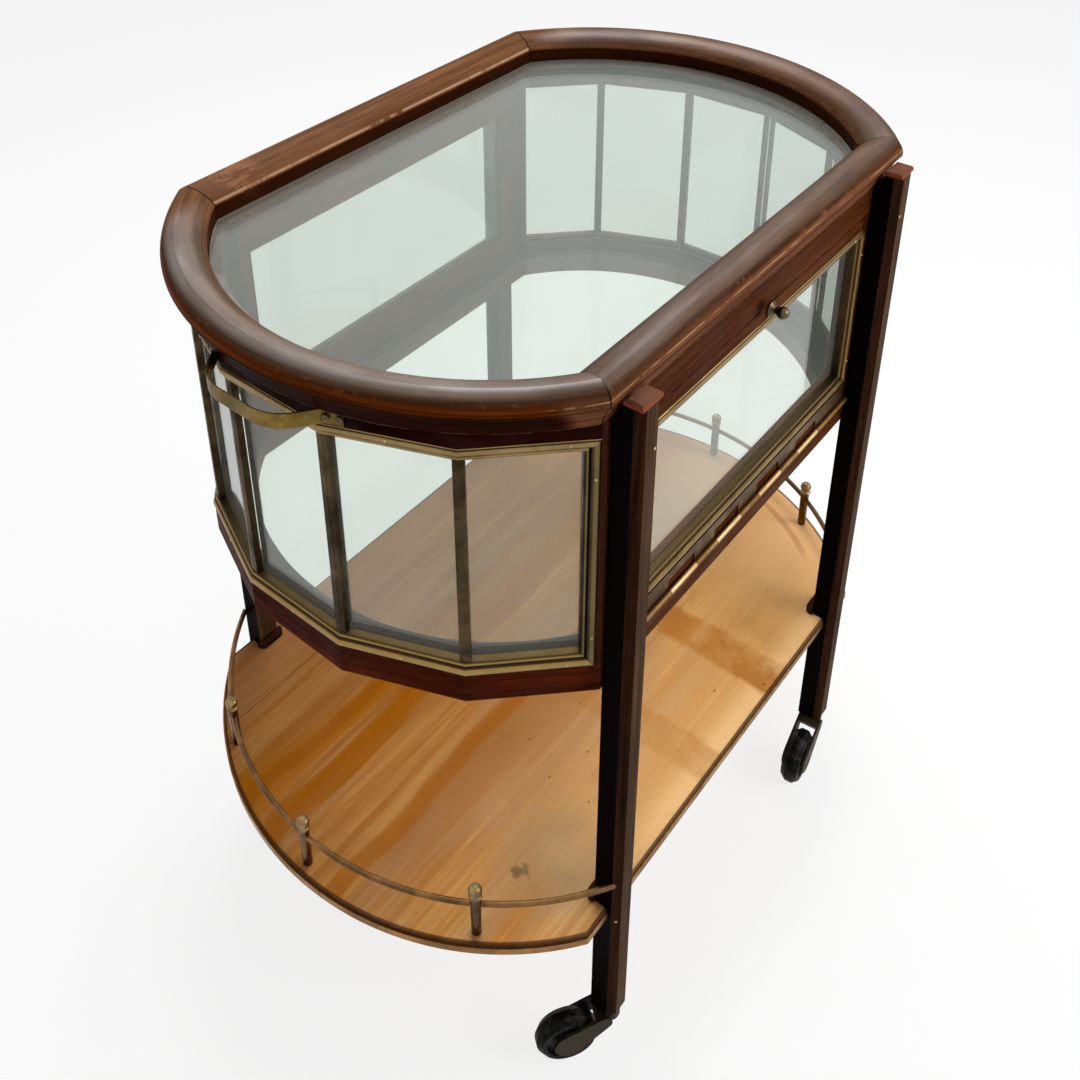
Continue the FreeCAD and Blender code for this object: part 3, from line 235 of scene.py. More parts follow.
def make_wood_figure():
    """Grain of wood that runs along the first coordinate."""
    tree, given, result = new_group("wood_figure", [VECTOR_INPUT], ["Figure", "Grain", "Pores"])
    vector = given["Vector"]
    feed(tree, result["Figure"], streaks(tree, vector, (3.0, 26.0, 26.0), (0.3, 0.7), 3.0, 0.55, 0.8))
    feed(tree, result["Grain"], streaks(tree, vector, (7.0, 190.0, 190.0), (0.25, 0.75), 5.0, 0.62, 0.9))
    feed(tree, result["Pores"], streaks(tree, vector, (90.0, 1300.0, 1300.0), (0.58, 0.72), 2.0, 0.6))
    return tree


def make_worn_edge():
    """Broken wear along sharp edges."""
    tree, given, result = new_group(
        "worn_edge", [VECTOR_INPUT, ("Radius", "NodeSocketFloat", 0.0015), ("Breakup", "NodeSocketFloat", 70.0)],
        ["Wear", "Edge"])
    softened = put(tree, "ShaderNodeBevel", {"Radius": given["Radius"]}, samples=4).outputs["Normal"]
    face = put(tree, "ShaderNodeNewGeometry").outputs["True Normal"]
    agree = put(tree, "ShaderNodeVectorMath", {0: softened, 1: face}, operation="DOT_PRODUCT").outputs["Value"]
    edge = span(tree, without(tree, agree), 0.02, 0.22)
    broken = span(tree, mottle(tree, given["Vector"], given["Breakup"], 4.0, 0.65), 0.42, 0.62)
    feed(tree, result["Wear"], times(tree, edge, broken))
    feed(tree, result["Edge"], edge)
    return tree


def make_tarnish():
    """Clouded and spotted old metal."""
    tree, given, result = new_group(
        "tarnish", [VECTOR_INPUT, ("Scale", "NodeSocketFloat", 1.0)], ["Cloud", "Spots", "Fine"])
    sized = put(tree, "ShaderNodeVectorMath", {0: given["Vector"], "Scale": given["Scale"]}, operation="SCALE")
    vector = sized.outputs["Vector"]
    feed(tree, result["Cloud"], span(tree, mottle(tree, vector, 34.0, 4.0, 0.6, 0.5), 0.32, 0.68))
    feed(tree, result["Spots"], span(tree, mottle(tree, vector, 260.0, 3.0, 0.5), 0.62, 0.72))
    feed(tree, result["Fine"], mottle(tree, vector, 900.0, 3.0, 0.6))
    return tree


def make_grime():
    """Dirt that gathers in corners and quirks and round what stands on the surface."""
    tree, given, result = new_group("grime", [VECTOR_INPUT, ("Distance", "NodeSocketFloat", 0.004)], ["Grime"])
    open_sky = put(tree, "ShaderNodeAmbientOcclusion", {"Distance": given["Distance"]}, samples=4).outputs["AO"]
    patchy = span(tree, mottle(tree, given["Vector"], 120.0), 0.3, 0.65, 0.55, 1.0)
    hidden = span(tree, without(tree, open_sky), 0.2, 0.75)
    feed(tree, result["Grime"], times(tree, hidden, patchy))
    return tree


def make_bead_lines():
    """Light and dark lines over the width of the reeded bead, from its distance to the frame: rubbed crowns with
    painted highlights, dirt in the hollows and a painted shadow line at the reveal.
    """
    tree, given, result = new_group("bead_lines", [("Distance", "NodeSocketFloat", 0.0)], ["Light", "Dark"])
    depth = given["Distance"]
    crown = band(tree, depth, BEAD_CROWN, 0.0009, 0.0014)
    lip = band(tree, depth, BEAD_LIP, 0.0004, 0.0006)
    fillet = band(tree, depth, BEAD_FILLET, 0.0003, 0.0003)
    # The light lines are rubbed brass with a painted highlight on the crown, lip and fillet.
    feed(tree, result["Light"], most(tree, crown, lip, fillet))
    groove = band(tree, depth, BEAD_GROOVE, 0.0003, 0.0003)
    quirk = band(tree, depth, BEAD_QUIRK, 0.0005, 0.0006)
    # The dark lines are dirt in the groove and quirk, and a painted shadow line at the reveal by the frame.
    feed(tree, result["Dark"], most(tree, groove, quirk, span(tree, depth, *BEAD_REVEAL)))
    return tree


def feed_strips(tree, result, over, under, beside):
    """Distance from the nearest side of the frame, and which strip of the bead that is."""
    level = calc(tree, "MINIMUM", over, under)
    feed(tree, result["Distance"], calc(tree, "MINIMUM", level, beside))
    feed(tree, result["Upright"], calc(tree, "LESS_THAN", beside, level))
    feed(tree, result["Low"], calc(tree, "LESS_THAN", under, calc(tree, "MINIMUM", over, beside)))


def make_end_bead_depth():
    """Distance from the frame over the bead of a faceted end."""
    tree, given, result = new_group("end_bead_depth", [VECTOR_INPUT], ["Distance", "Upright", "Low"])
    x, y, z = apart(tree, given["Vector"])
    over = calc(tree, "SUBTRACT", FRIEZE_UNDER, z)
    under = calc(tree, "SUBTRACT", z, BASE_TOP)
    out = calc(tree, "SUBTRACT", size_of(tree, x), END_CENTRE)
    last_facet = FACET_ANGLE * (FACETS - 1) / 2
    across = calc(tree, "SUBTRACT", times(tree, size_of(tree, y), math.cos(last_facet)),
                  times(tree, out, math.sin(last_facet)))
    feed_strips(tree, result, over, under, calc(tree, "SUBTRACT", FACET_HALF - POST_SHOW, across))
    return tree


def make_frame_bead_depth():
    """Distance from the frame over the bead round a flat opening."""
    tree, given, result = new_group(
        "frame_bead_depth", [VECTOR_INPUT, ("Half", "NodeSocketFloat", 0.1), ("Low", "NodeSocketFloat", 0.5),
                             ("High", "NodeSocketFloat", 0.7)], ["Distance", "Upright", "Low"])
    x, _, z = apart(tree, given["Vector"])
    beside = calc(tree, "SUBTRACT", given["Half"], size_of(tree, x))
    over = calc(tree, "SUBTRACT", given["High"], z)
    under = calc(tree, "SUBTRACT", z, given["Low"])
    feed_strips(tree, result, over, under, beside)
    return tree


UNROLLED_END = make_unrolled_end()
WOOD_FIGURE = make_wood_figure()
WORN_EDGE = make_worn_edge()
TARNISH = make_tarnish()
GRIME = make_grime()
BEAD_LINES = make_bead_lines()
END_BEAD_DEPTH = make_end_bead_depth()
FRAME_BEAD_DEPTH = make_frame_bead_depth()


def effect(tree, group, **inputs):
    return put(tree, "ShaderNodeGroup", inputs, node_tree=group).outputs


def new_finish(name, plain):
    """A material with its shader and plain values, the piece's own coordinates and its output."""
    material = bpy.data.materials.new(name)
    material.use_nodes = True
    tree = material.node_tree
    tree.nodes.clear()
    shader = put(tree, "ShaderNodeBsdfPrincipled", plain)
    surface = put(tree, "ShaderNodeOutputMaterial", {"Surface": shader.outputs["BSDF"]})
    place = put(tree, "ShaderNodeTexCoord").outputs
    return material, tree, shader, place, surface


def relief(tree, shader, height, depth, edge_radius=0.0006):
    """Fine relief over softly rounded edges."""
    rounded = put(tree, "ShaderNodeBevel", {"Radius": edge_radius}, samples=4).outputs["Normal"]
    bump = put(tree, "ShaderNodeBump", {"Height": height, "Distance": depth, "Strength": 1.0, "Normal": rounded})
    feed(tree, shader.inputs["Normal"], bump.outputs["Normal"])


# Wood, with pairs of colours for dark and light grain
SATIN_IOR = 1.05
PORE_BLACK = colour(0.006, 0.002, 0.001)
WORN_MAHOGANY = colour(0.36, 0.17, 0.085)
LEDGE_SHADE = colour(0.028, 0.026, 0.023)
# The frieze is the mahogany darkened almost to black, painted shade under the rim.
FRIEZE_SHADED_TONES = (colour(0.008, 0.0008, 0.0004), colour(0.036, 0.004, 0.0012))
BASE_TONES = (colour(0.026, 0.0035, 0.0006), colour(0.150, 0.022, 0.003))
SIDE_TONES = (colour(0.046, 0.011, 0.002), colour(0.130, 0.037, 0.010))
STILE_TONES = (colour(0.022, 0.005, 0.002), colour(0.085, 0.023, 0.008))
# The collars' near-black tones are dark wood that also paints the shade at the feet of the legs.
COLLAR_SHADE_TONES = (colour(0.012, 0.004, 0.002), colour(0.045, 0.012, 0.005))
COLLAR_WORN = colour(0.16, 0.06, 0.03)


def grain_run(tree, spot, run):
    """Object coordinates turned so that the grain runs along the first of them."""
    if run == "end":
        return effect(tree, UNROLLED_END, Vector=spot)["Vector"]
    if run == "up":
        return stretched(tree, spot, (1.0, 1.0, 1.0), turn=(0.0, math.pi / 2, 0.0))
    return spot


def grained(tree, figure, tones):
    return blend(tree, figure["Grain"], *tones)


def finish_wood(tree, shader, tone, figure, rough, smooth, depth, edge_radius=0.0006):
    """Colour, satin along the grain and open pores."""
    feed(tree, shader.inputs["Base Color"], tone)
    feed(tree, shader.inputs["Roughness"], span(tree, figure["Grain"], 0.0, 1.0, rough, smooth))
    relief(tree, shader, times(tree, figure["Pores"], -1.0), depth, edge_radius)


def make_case_wood(name, run, tones, polish, worn=0.45, ledge_shade=0.0):
    """Polished wood with worn edges, and painted shade that darkens its upward faces as strongly as asked."""
    material, tree, shader, place, _ = new_finish(name, {"IOR": SATIN_IOR, "Coat Roughness": 0.22, "Coat IOR": 1.5})
    spot = place["Object"]
    figure = effect(tree, WOOD_FIGURE, Vector=grain_run(tree, spot, run))
    wear = effect(tree, WORN_EDGE, Vector=spot, Radius=0.0012, Breakup=90.0)
    tone = grained(tree, figure, tones)
    tone = lay(tree, tone, tones[0], figure["Figure"], 0.5)
    tone = lay(tree, tone, PORE_BLACK, figure["Pores"], 0.5)
    tone = lay(tree, tone, WORN_MAHOGANY, wear["Wear"], worn)
    # Painted shade: upward faces darkened to a dark grey, as on a sheltered ledge.
    upward = span(tree, apart(tree, place["Normal"])[2], 0.7, 0.95)
    tone = lay(tree, tone, LEDGE_SHADE, upward, ledge_shade)
    if run == "along":
        # A dark finger mark beside the knob, which is also a painted shadow of the knob.
        handled_and_shaded = span(tree, away(tree, spot, FINGER_MARK_AND_KNOB_SHADOW), 0.004, 0.012, 0.9, 0.0)
        smudged = span(tree, mottle(tree, spot, 150.0), 0.35, 0.6, 0.4, 1.0)
        tone = lay(tree, tone, PORE_BLACK, handled_and_shaded, smudged)
    finish_wood(tree, shader, tone, figure, 0.5, 0.36, 0.00008)
    cloud = span(tree, mottle(tree, spot, 26.0), 0.45, 0.75)
    feed(tree, shader.inputs["Coat Weight"], times(tree, cloud, polish))
    return material


RIM_TONES = (colour(0.032, 0.010, 0.003), colour(0.100, 0.036, 0.013))
RIM_FIGURE = colour(0.055, 0.017, 0.005)
RIM_RUBBED = colour(0.24, 0.10, 0.04)
RIM_CHIPPED = colour(0.33, 0.115, 0.04)
RIM_DULLED_SHEEN = (colour(0.052, 0.031, 0.017), colour(0.118, 0.074, 0.044))
RIM_FRONT = (colour(0.12, 0.042, 0.018), colour(0.30, 0.115, 0.055))
RIM_NOSE_AND_GLOW = (colour(0.060, 0.010, 0.001), colour(0.20, 0.042, 0.004))
RIM_COVE_SHADE = (colour(0.004, 0.0006, 0.0003), colour(0.034, 0.005, 0.001))
RIM_BACK = (colour(0.11, 0.045, 0.018), colour(0.22, 0.10, 0.045))
RIM_RUB_LINE = colour(0.46, 0.27, 0.13)
RIM_BACK_LINE_HIGHLIGHT = colour(0.42, 0.24, 0.14)
RIM_BARE = colour(0.34, 0.15, 0.075)
RIM_WORN = colour(0.34, 0.18, 0.10)
RIM_INSIDE_SHADE = colour(0.016, 0.006, 0.003)
RIM_MITRE_GAP = colour(0.01, 0.004, 0.002)
LINE_BREAKS = (30.0, 8.0, 8.0)


def make_rim_wood(name, run):
    """Dark polish with a dulled crown under a painted grey sheen, a red nose with a painted warm glow, painted shade
    in the cove below it and on the inner wall, and lines rubbed bare, the back one also a painted highlight.
    """
    material, tree, shader, place, _ = new_finish(name, {"IOR": SATIN_IOR, "Coat Roughness": 0.4, "Coat IOR": 2.55})
    spot = place["Object"]
    along = grain_run(tree, spot, run)
    figure = effect(tree, WOOD_FIGURE, Vector=along)
    wear = effect(tree, WORN_EDGE, Vector=spot, Radius=0.0022, Breakup=55.0)
    x, y, z = apart(tree, spot)
    facing = apart(tree, place["Normal"])[2]

    tone = grained(tree, figure, RIM_TONES)
    tone = lay(tree, tone, RIM_FIGURE, figure["Figure"], 0.55)
    rubbed = streaks(tree, along, (6.0, 40.0, 40.0), (0.46, 0.66), roughness=0.65)
    tone = lay(tree, tone, RIM_RUBBED, rubbed, span(tree, facing, 0.55, 0.95), 0.5)
    chipped = span(tree, mottle(tree, spot, 60.0, 5.0, 0.7), 0.60, 0.66)
    tone = lay(tree, tone, RIM_CHIPPED, chipped, band(tree, facing, 0.25, 0.3, 0.2), 0.55)
    # Where the polish is kept the crown gets a greyer tone: dulled polish with a painted sheen of the sky.
    kept_polish_and_sheen = times(tree, span(tree, y, 0.165, 0.195, 1.0, 0.04), span(tree, x, -0.30, -0.22, 0.75, 0.45),
                        span(tree, x, 0.15, 0.3, 1.0, 0.5))
    tone = lay(tree, tone, grained(tree, figure, RIM_DULLED_SHEEN), span(tree, facing, 0.3, 0.75), kept_polish_and_sheen, 0.85)

    nose = span(tree, facing, 0.3, 0.6, 1.0, 0.0)
    on_front = span(tree, y, *RIM_FRONT_EDGE, 1.0, 0.0)
    tone = lay(tree, tone, grained(tree, figure, RIM_FRONT), on_front, nose, 0.75)
    # The red nose is the wood's tone with a painted warm glow of reflected light.
    tone = lay(tree, tone, grained(tree, figure, RIM_NOSE_AND_GLOW), nose, span(tree, y, *RIM_FRONT_EDGE))
    # Painted shade: the downward cove under the nose darkened, less on the front rail.
    cove = span(tree, facing, -0.1, 0.08, 1.0, 0.0)
    tone = lay(tree, tone, grained(tree, figure, RIM_COVE_SHADE), cove, span(tree, y, *RIM_FRONT_EDGE, 0.1, 1.0))
    tone = lay(tree, tone, PORE_BLACK, figure["Pores"], 0.45)
    rub_line = times(tree, band(tree, z, RIM_RUB_LEVEL, 0.0003, 0.0006), span(tree, facing, 0.0, 0.05),
                     streaks(tree, along, LINE_BREAKS, (0.42, 0.56)))
    tone = lay(tree, tone, RIM_RUB_LINE, rub_line, span(tree, y, -0.205, -0.19, 0.75, 0.06))
    back_rail = span(tree, y, 0.15, 0.19)
    tone = lay(tree, tone, grained(tree, figure, RIM_BACK), back_rail, span(tree, facing, 0.1, 0.5), 0.6)
    if run == "along":
        bare = times(tree, span(tree, away(tree, spot, BARE_PATCH), 0.012, 0.034, 1.0, 0.0),
                     streaks(tree, along, (60.0, 150.0, 150.0), (0.44, 0.58)))
        tone = lay(tree, tone, RIM_BARE, bare, 0.45)
        # A broken light line along the back rail's inner arris: worn edge and painted highlight.
        back_worn_and_lit_line = times(tree, band(tree, y, RIM_BACK_ARRIS, 0.0004, 0.0007), span(tree, facing, 0.15, 0.3),
                          streaks(tree, along, LINE_BREAKS, (0.36, 0.5)))
        tone = lay(tree, tone, RIM_BACK_LINE_HIGHLIGHT, back_worn_and_lit_line, 0.8)
    tone = lay(tree, tone, RIM_WORN, wear["Wear"], 0.75)

    # Painted shade: the rim's inner wall down to the glass, darkened almost to black.
    shaded_inner_wall = times(tree, span(tree, facing, 0.02, 0.1, 1.0, 0.0), span(tree, facing, -0.1, -0.02),
                       span(tree, z, *RIM_WALL_FOOT), span(tree, z, *RIM_WALL_HEAD, 1.0, 0.0))
    tone = lay(tree, tone, RIM_INSIDE_SHADE, shaded_inner_wall, 0.8)
    from_corner = calc(tree, "SUBTRACT", size_of(tree, x), RIM_INNER_CORNER[0])
    beside_corner = calc(tree, "SUBTRACT", size_of(tree, y), RIM_INNER_CORNER[1])
    mitre = calc(tree, "ADD", times(tree, from_corner, RIM_MITRE_SLOPE[0]),
                 times(tree, beside_corner, RIM_MITRE_SLOPE[1]))
    tone = lay(tree, tone, RIM_MITRE_GAP, band(tree, mitre, 0.0, 0.0005, 0.0006), 0.85)
    finish_wood(tree, shader, tone, figure, 0.5, 0.4, 0.0001, 0.0008)
    cloud = streaks(tree, along, (12.0, 50.0, 50.0), (0.3, 0.7, 0.5, 1.0), 4.0, 0.55)
    feed(tree, shader.inputs["Coat Weight"], times(tree, cloud, span(tree, facing, 0.62, 0.98), kept_polish_and_sheen))
    return material


LEG_CHAMFER_TONES = (colour(0.012, 0.004, 0.002), colour(0.05, 0.018, 0.008))
LEG_OUTER_SHEEN_TONES = (colour(0.032, 0.015, 0.007), colour(0.095, 0.049, 0.024))
LEG_EDGE_SHADE = colour(0.006, 0.003, 0.002)
LEG_SIDE = colour(0.0025, 0.0014, 0.0012)
LEG_WORN = colour(0.24, 0.10, 0.05)
LEG_CAP_TONES = (colour(0.055, 0.018, 0.008), colour(0.15, 0.058, 0.030))
LEG_CAP_RED = colour(0.30, 0.060, 0.022)


def make_leg_wood():
    """Brown outer faces with a painted greyish sheen, black sides, dark red chamfers, painted shade along the
    arrises and a bare red cap.
    """
    material, tree, shader, place, _ = new_finish(
        "leg_wood", {"IOR": SATIN_IOR, "Coat Roughness": 0.28, "Coat IOR": 1.5})
    spot = place["Object"]
    along = grain_run(tree, spot, "up")
    figure = effect(tree, WOOD_FIGURE, Vector=along)
    wear = effect(tree, WORN_EDGE, Vector=spot, Radius=0.0014, Breakup=110.0)
    facing = apart(tree, place["Normal"])
    side = span(tree, size_of(tree, facing[0]), 0.86, 0.95)
    outer = span(tree, size_of(tree, facing[1]), 0.86, 0.95)
    height = apart(tree, spot)[2]
    cap = span(tree, height, LEG_CAP - 0.0002, LEG_CAP + 0.0002)
    tone = grained(tree, figure, LEG_CHAMFER_TONES)
    # The outer faces' lighter, greyer brown is their wood with a painted greyish sheen.
    tone = lay(tree, tone, grained(tree, figure, LEG_OUTER_SHEEN_TONES), outer)
    # Painted shade: a dark line along every arris of the leg.
    tone = lay(tree, tone, LEG_EDGE_SHADE, wear["Edge"], 0.75)
    tone = lay(tree, tone, LEG_SIDE, side)
    tone = lay(tree, tone, PORE_BLACK, figure["Pores"], 0.4)
    tone = lay(tree, tone, LEG_WORN, wear["Wear"], 0.3, without(tree, times(tree, side, 0.8)))
    red_cap = blend(tree, figure["Figure"], *LEG_CAP_TONES)
    lower_edge = band(tree, height, LEG_CAP + 0.0006, 0.0010, 0.0032)
    red_cap = lay(tree, red_cap, LEG_CAP_RED, lower_edge, 0.75)
    tone = lay(tree, tone, red_cap, cap)
    finish_wood(tree, shader, tone, figure, 0.55, 0.42, 0.00008)
    cloud = span(tree, mottle(tree, along, 30.0), 0.3, 0.7, 0.6, 1.0)
    sheen = most(tree, times(tree, outer, 0.03), times(tree, cap, 0.12))
    polished = without(tree, times(tree, side, without(tree, cap)))
    feed(tree, shader.inputs["Coat Weight"], times(tree, sheen, polished, cloud))
    return material


VENEER_TONES = (colour(0.44, 0.19, 0.055), colour(0.56, 0.285, 0.10))
VENEER_FINE = colour(0.30, 0.095, 0.015)
VENEER_BROAD = colour(0.41, 0.140, 0.003)
VENEER_FADED = colour(0.38, 0.195, 0.10)
VENEER_STREAK = colour(0.36, 0.110, 0.003)
VENEER_LIT = colour(0.60, 0.31, 0.115)
VENEER_BLEACHED_AND_LIT = colour(0.78, 0.45, 0.21)
VENEER_STAIN = colour(0.38, 0.14, 0.028)
VENEER_GREY = colour(0.27, 0.125, 0.045)
VENEER_BLOT = colour(0.12, 0.058, 0.020)
VENEER_LEG_SHADOW = colour(0.235, 0.150, 0.070)
VENEER_JOINT = colour(0.12, 0.045, 0.012)
VENEER_CASE_SHADE = colour(0.70, 0.60, 0.48)
VENEER_PIT = colour(0.09, 0.04, 0.015)
VENEER_PORE = colour(0.22, 0.08, 0.02)
VENEER_RAIL_SHADOW = colour(0.34, 0.15, 0.05)
VENEER_BORDER = colour(0.05, 0.016, 0.006)
# Middle and half width of the streaks along the shelf, and the same with a weight for the stains across it
SHELF_STREAKS = ((0.044, 0.010), (-0.040, 0.006), (0.085, 0.004))
SHELF_STAINS = ((0.086, 0.016, 0.95), (-0.040, 0.014, 0.5))


def make_veneer():
    """Honey veneer along the length, with orange streaks, water stains and a jointed board, painted lighter where
    light falls, with painted shade under the case and painted shadows of a leg and the gallery rail.
    """
    material, tree, shader, place, _ = new_finish(
        "honey_veneer", {"IOR": SATIN_IOR, "Coat Roughness": 0.2, "Coat IOR": 1.45})
    spot = place["Object"]
    figure = effect(tree, WOOD_FIGURE, Vector=spot)
    x, y, _ = apart(tree, spot)

    tone = grained(tree, figure, VENEER_TONES)
    fine = streaks(tree, spot, (2.2, 64.0, 1.0), (0.40, 0.60), 5.0, 0.66, 0.5)
    tone = lay(tree, tone, VENEER_FINE, fine, 0.55)
    broad = streaks(tree, spot, (1.2, 15.0, 1.0), (0.50, 0.58), 4.0, 0.6, 0.4, (0.3, 0.0, 0.0))
    tone = lay(tree, tone, VENEER_BROAD, broad, span(tree, y, -0.13, -0.06, 0.25, 1.0), 0.9)
    faded = streaks(tree, spot, (1.6, 11.0, 1.0), (0.51, 0.61), 4.0, 0.6, 0.4, (1.7, 0.4, 0.0))
    tone = lay(tree, tone, VENEER_FADED, faded, 0.6)
    row = strayed(tree, y, mottle(tree, stretched(tree, spot, (5.0, 2.0, 1.0)), 1.0, 2.0), 0.05)
    for centre, half in SHELF_STREAKS:
        tone = lay(tree, tone, VENEER_STREAK, band(tree, row, centre, half, 0.006),
                   span(tree, x, -0.05, 0.2, 0.75, 0.3))

    # Painted light: the veneer paler toward the right and toward the front.
    lit_right = times(tree, span(tree, x, -0.05, 0.25), span(tree, y, -0.2, 0.1, 1.0, 0.4))
    lit_front = times(tree, span(tree, y, -0.19, -0.10, 0.8, 0.0), span(tree, x, -0.3, -0.1))
    tone = lay(tree, tone, VENEER_LIT, most(tree, lit_right, lit_front), 0.75)
    # Paler strips at the front edge and on the right, bleached and also painted light.
    bleached_and_lit_front = span(tree, y, -0.22, -0.19, 0.9, 0.0)
    bleached_and_lit_right = times(tree, span(tree, x, 0.12, 0.28, 0.0, 0.7), span(tree, y, -0.03, 0.07, 1.0, 0.1))
    tone = lay(tree, tone, VENEER_BLEACHED_AND_LIT, most(tree, bleached_and_lit_front, bleached_and_lit_right), span(tree, x, -0.22, -0.08))

    for centre, half, weight in SHELF_STAINS:
        stain = band(tree, strayed(tree, x, mottle(tree, spot, 40.0, 4.0), 0.02), centre, half, 0.009)
        broken = span(tree, mottle(tree, spot, 24.0, 5.0, 0.65), 0.36, 0.58, 0.35, 1.0)
        tone = lay(tree, tone, VENEER_STAIN, stain, span(tree, y, -0.10, -0.04, 1.0, 0.0), weight, broken)
    grey = span(tree, mottle(tree, spot, 11.0, 4.0, 0.6), 0.54, 0.74)
    tone = lay(tree, tone, VENEER_GREY, grey, 0.35)
    blot = strayed(tree, away(tree, spot, INK_BLOT), mottle(tree, spot, 130.0, 4.0), 0.02)
    tone = lay(tree, tone, VENEER_BLOT, span(tree, blot, 0.003, 0.008, 0.8, 0.0))
    # Painted shadow of the front left leg, a soft grey patch on the shelf.
    leg_shadow = span(tree, away(tree, spot, LEG_SHADOW_SPOT), 0.02, 0.075, 0.55, 0.0)
    tone = lay(tree, tone, VENEER_LEG_SHADOW, leg_shadow, span(tree, mottle(tree, spot, 30.0, 4.0), 0.3, 0.6, 0.6, 1.0))
    joint = band(tree, y, BOARD_JOINT, 0.0002, 0.0006)
    tone = lay(tree, tone, VENEER_JOINT, joint, span(tree, x, -0.1, 0.0, 0.7, 0.3))
    # Painted shade: the veneer darkened under the case, most toward the left.
    shade_under_case = times(tree, span(tree, x, -0.16, 0.10, 1.0, 0.65), span(tree, y, -0.14, -0.05), 0.9)
    tone = blend(tree, shade_under_case, tone, VENEER_CASE_SHADE, "MULTIPLY")
    pits = put(tree, "ShaderNodeTexVoronoi", {"Vector": spot, "Scale": 38.0}).outputs["Distance"]
    tone = lay(tree, tone, VENEER_PIT, span(tree, pits, 0.03, 0.06, 0.7, 0.0))
    tone = lay(tree, tone, VENEER_PORE, figure["Pores"], 0.22)

    out = calc(tree, "SUBTRACT", size_of(tree, x), END_CENTRE)
    reach = slant(tree, out, y)
    # Painted shadow of the gallery rail: a brown arc inside it on the right.
    rail_shadow = times(tree, band(tree, reach, GALLERY_SHADOW_REACH, 0.002, 0.003), span(tree, x, 0.0, 0.1),
                 span(tree, y, -0.18, -0.15), span(tree, y, -0.09, -0.06, 1.0, 0.0))
    tone = lay(tree, tone, VENEER_RAIL_SHADOW, rail_shadow, 0.5)
    round_edge = times(tree, span(tree, reach, SHELF_RADIUS - 0.0030, SHELF_RADIUS - 0.0016),
                       span(tree, out, 0.0, 0.01))
    side_edge = span(tree, size_of(tree, y), SHELF_HALF - 0.0022, SHELF_HALF - 0.0012)
    tone = lay(tree, tone, VENEER_BORDER, most(tree, round_edge, side_edge), 0.85)
    finish_wood(tree, shader, tone, figure, 0.46, 0.38, 0.00005)
    feed(tree, shader.inputs["Coat Weight"], span(tree, mottle(tree, spot, 9.0), 0.4, 0.75, 0.0, 0.12))
    return material


def make_collar_wood():
    material, tree, shader, place, _ = new_finish("collar_wood", {"IOR": SATIN_IOR})
    figure = effect(tree, WOOD_FIGURE, Vector=place["Object"])
    wear = effect(tree, WORN_EDGE, Vector=place["Object"], Radius=0.001, Breakup=150.0)
    tone = lay(tree, grained(tree, figure, COLLAR_SHADE_TONES), COLLAR_WORN, wear["Wear"], 0.4)
    feed(tree, shader.inputs["Base Color"], tone)
    feed(tree, shader.inputs["Roughness"], span(tree, figure["Grain"], 0.0, 1.0, 0.55, 0.4))
    relief(tree, shader, figure["Grain"], 0.00005)
    return material


# Metal and rubber
def aged_metal(tree, spot, bright, dull, dark, spots=0.4):
    """Clouded and spotted metal with dirt in its corners."""
    age = effect(tree, TARNISH, Vector=spot, Scale=1.0)
    dirt = effect(tree, GRIME, Vector=spot, Distance=0.0025)["Grime"]
    tone = blend(tree, age["Cloud"], bright, dull)
    tone = lay(tree, tone, dark, age["Spots"], spots)
    tone = lay(tree, tone, dark, dirt, 0.85)
    return tone, age, dirt


def finish_metal(tree, shader, tone, age, dirt, shine):
    feed(tree, shader.inputs["Base Color"], tone)
    rough = span(tree, age["Cloud"], 0.0, 1.0, shine, shine + 0.16)
    feed(tree, shader.inputs["Roughness"], calc(tree, "ADD", rough, times(tree, dirt, 0.25)))
    relief(tree, shader, age["Fine"], 0.00004, 0.0004)


def make_brass(name, bright, dull, dark, shine=0.32, spots=0.4, rubbed=colour(0.62, 0.48, 0.25), head=None):
    """Aged brass with rubbed edges, rubbed bright above the level of its heads where it has them, which also stands
    as a painted highlight on the heads.
    """
    material, tree, shader, place, _ = new_finish(name, {"Metallic": 1.0})
    spot = place["Object"]
    tone, age, dirt = aged_metal(tree, spot, bright, dull, dark, spots)
    if head:
        # The bright heads are rubbed brass and a painted highlight.
        touched_and_lit = span(tree, apart(tree, spot)[2], head - 0.001, head + 0.004)
        tone = lay(tree, tone, rubbed, touched_and_lit, span(tree, age["Cloud"], 0.2, 0.9, 0.85, 0.35))
    wear = effect(tree, WORN_EDGE, Vector=spot, Radius=0.0008, Breakup=200.0)
    tone = lay(tree, tone, rubbed, wear["Wear"], 0.4)
    finish_metal(tree, shader, tone, age, dirt, shine)
    return material


BEAD_BRIGHT = colour(0.23, 0.142, 0.046)
BEAD_DULL = colour(0.115, 0.070, 0.022)
BEAD_DARK = colour(0.016, 0.010, 0.005)
BEAD_LIT = colour(0.38, 0.225, 0.065)
BEAD_RUBBED_AND_LIT = colour(0.34, 0.25, 0.11)
BEAD_TURNED_IN_SHADE = colour(0.060, 0.038, 0.018)
BEAD_SHINE = 0.34


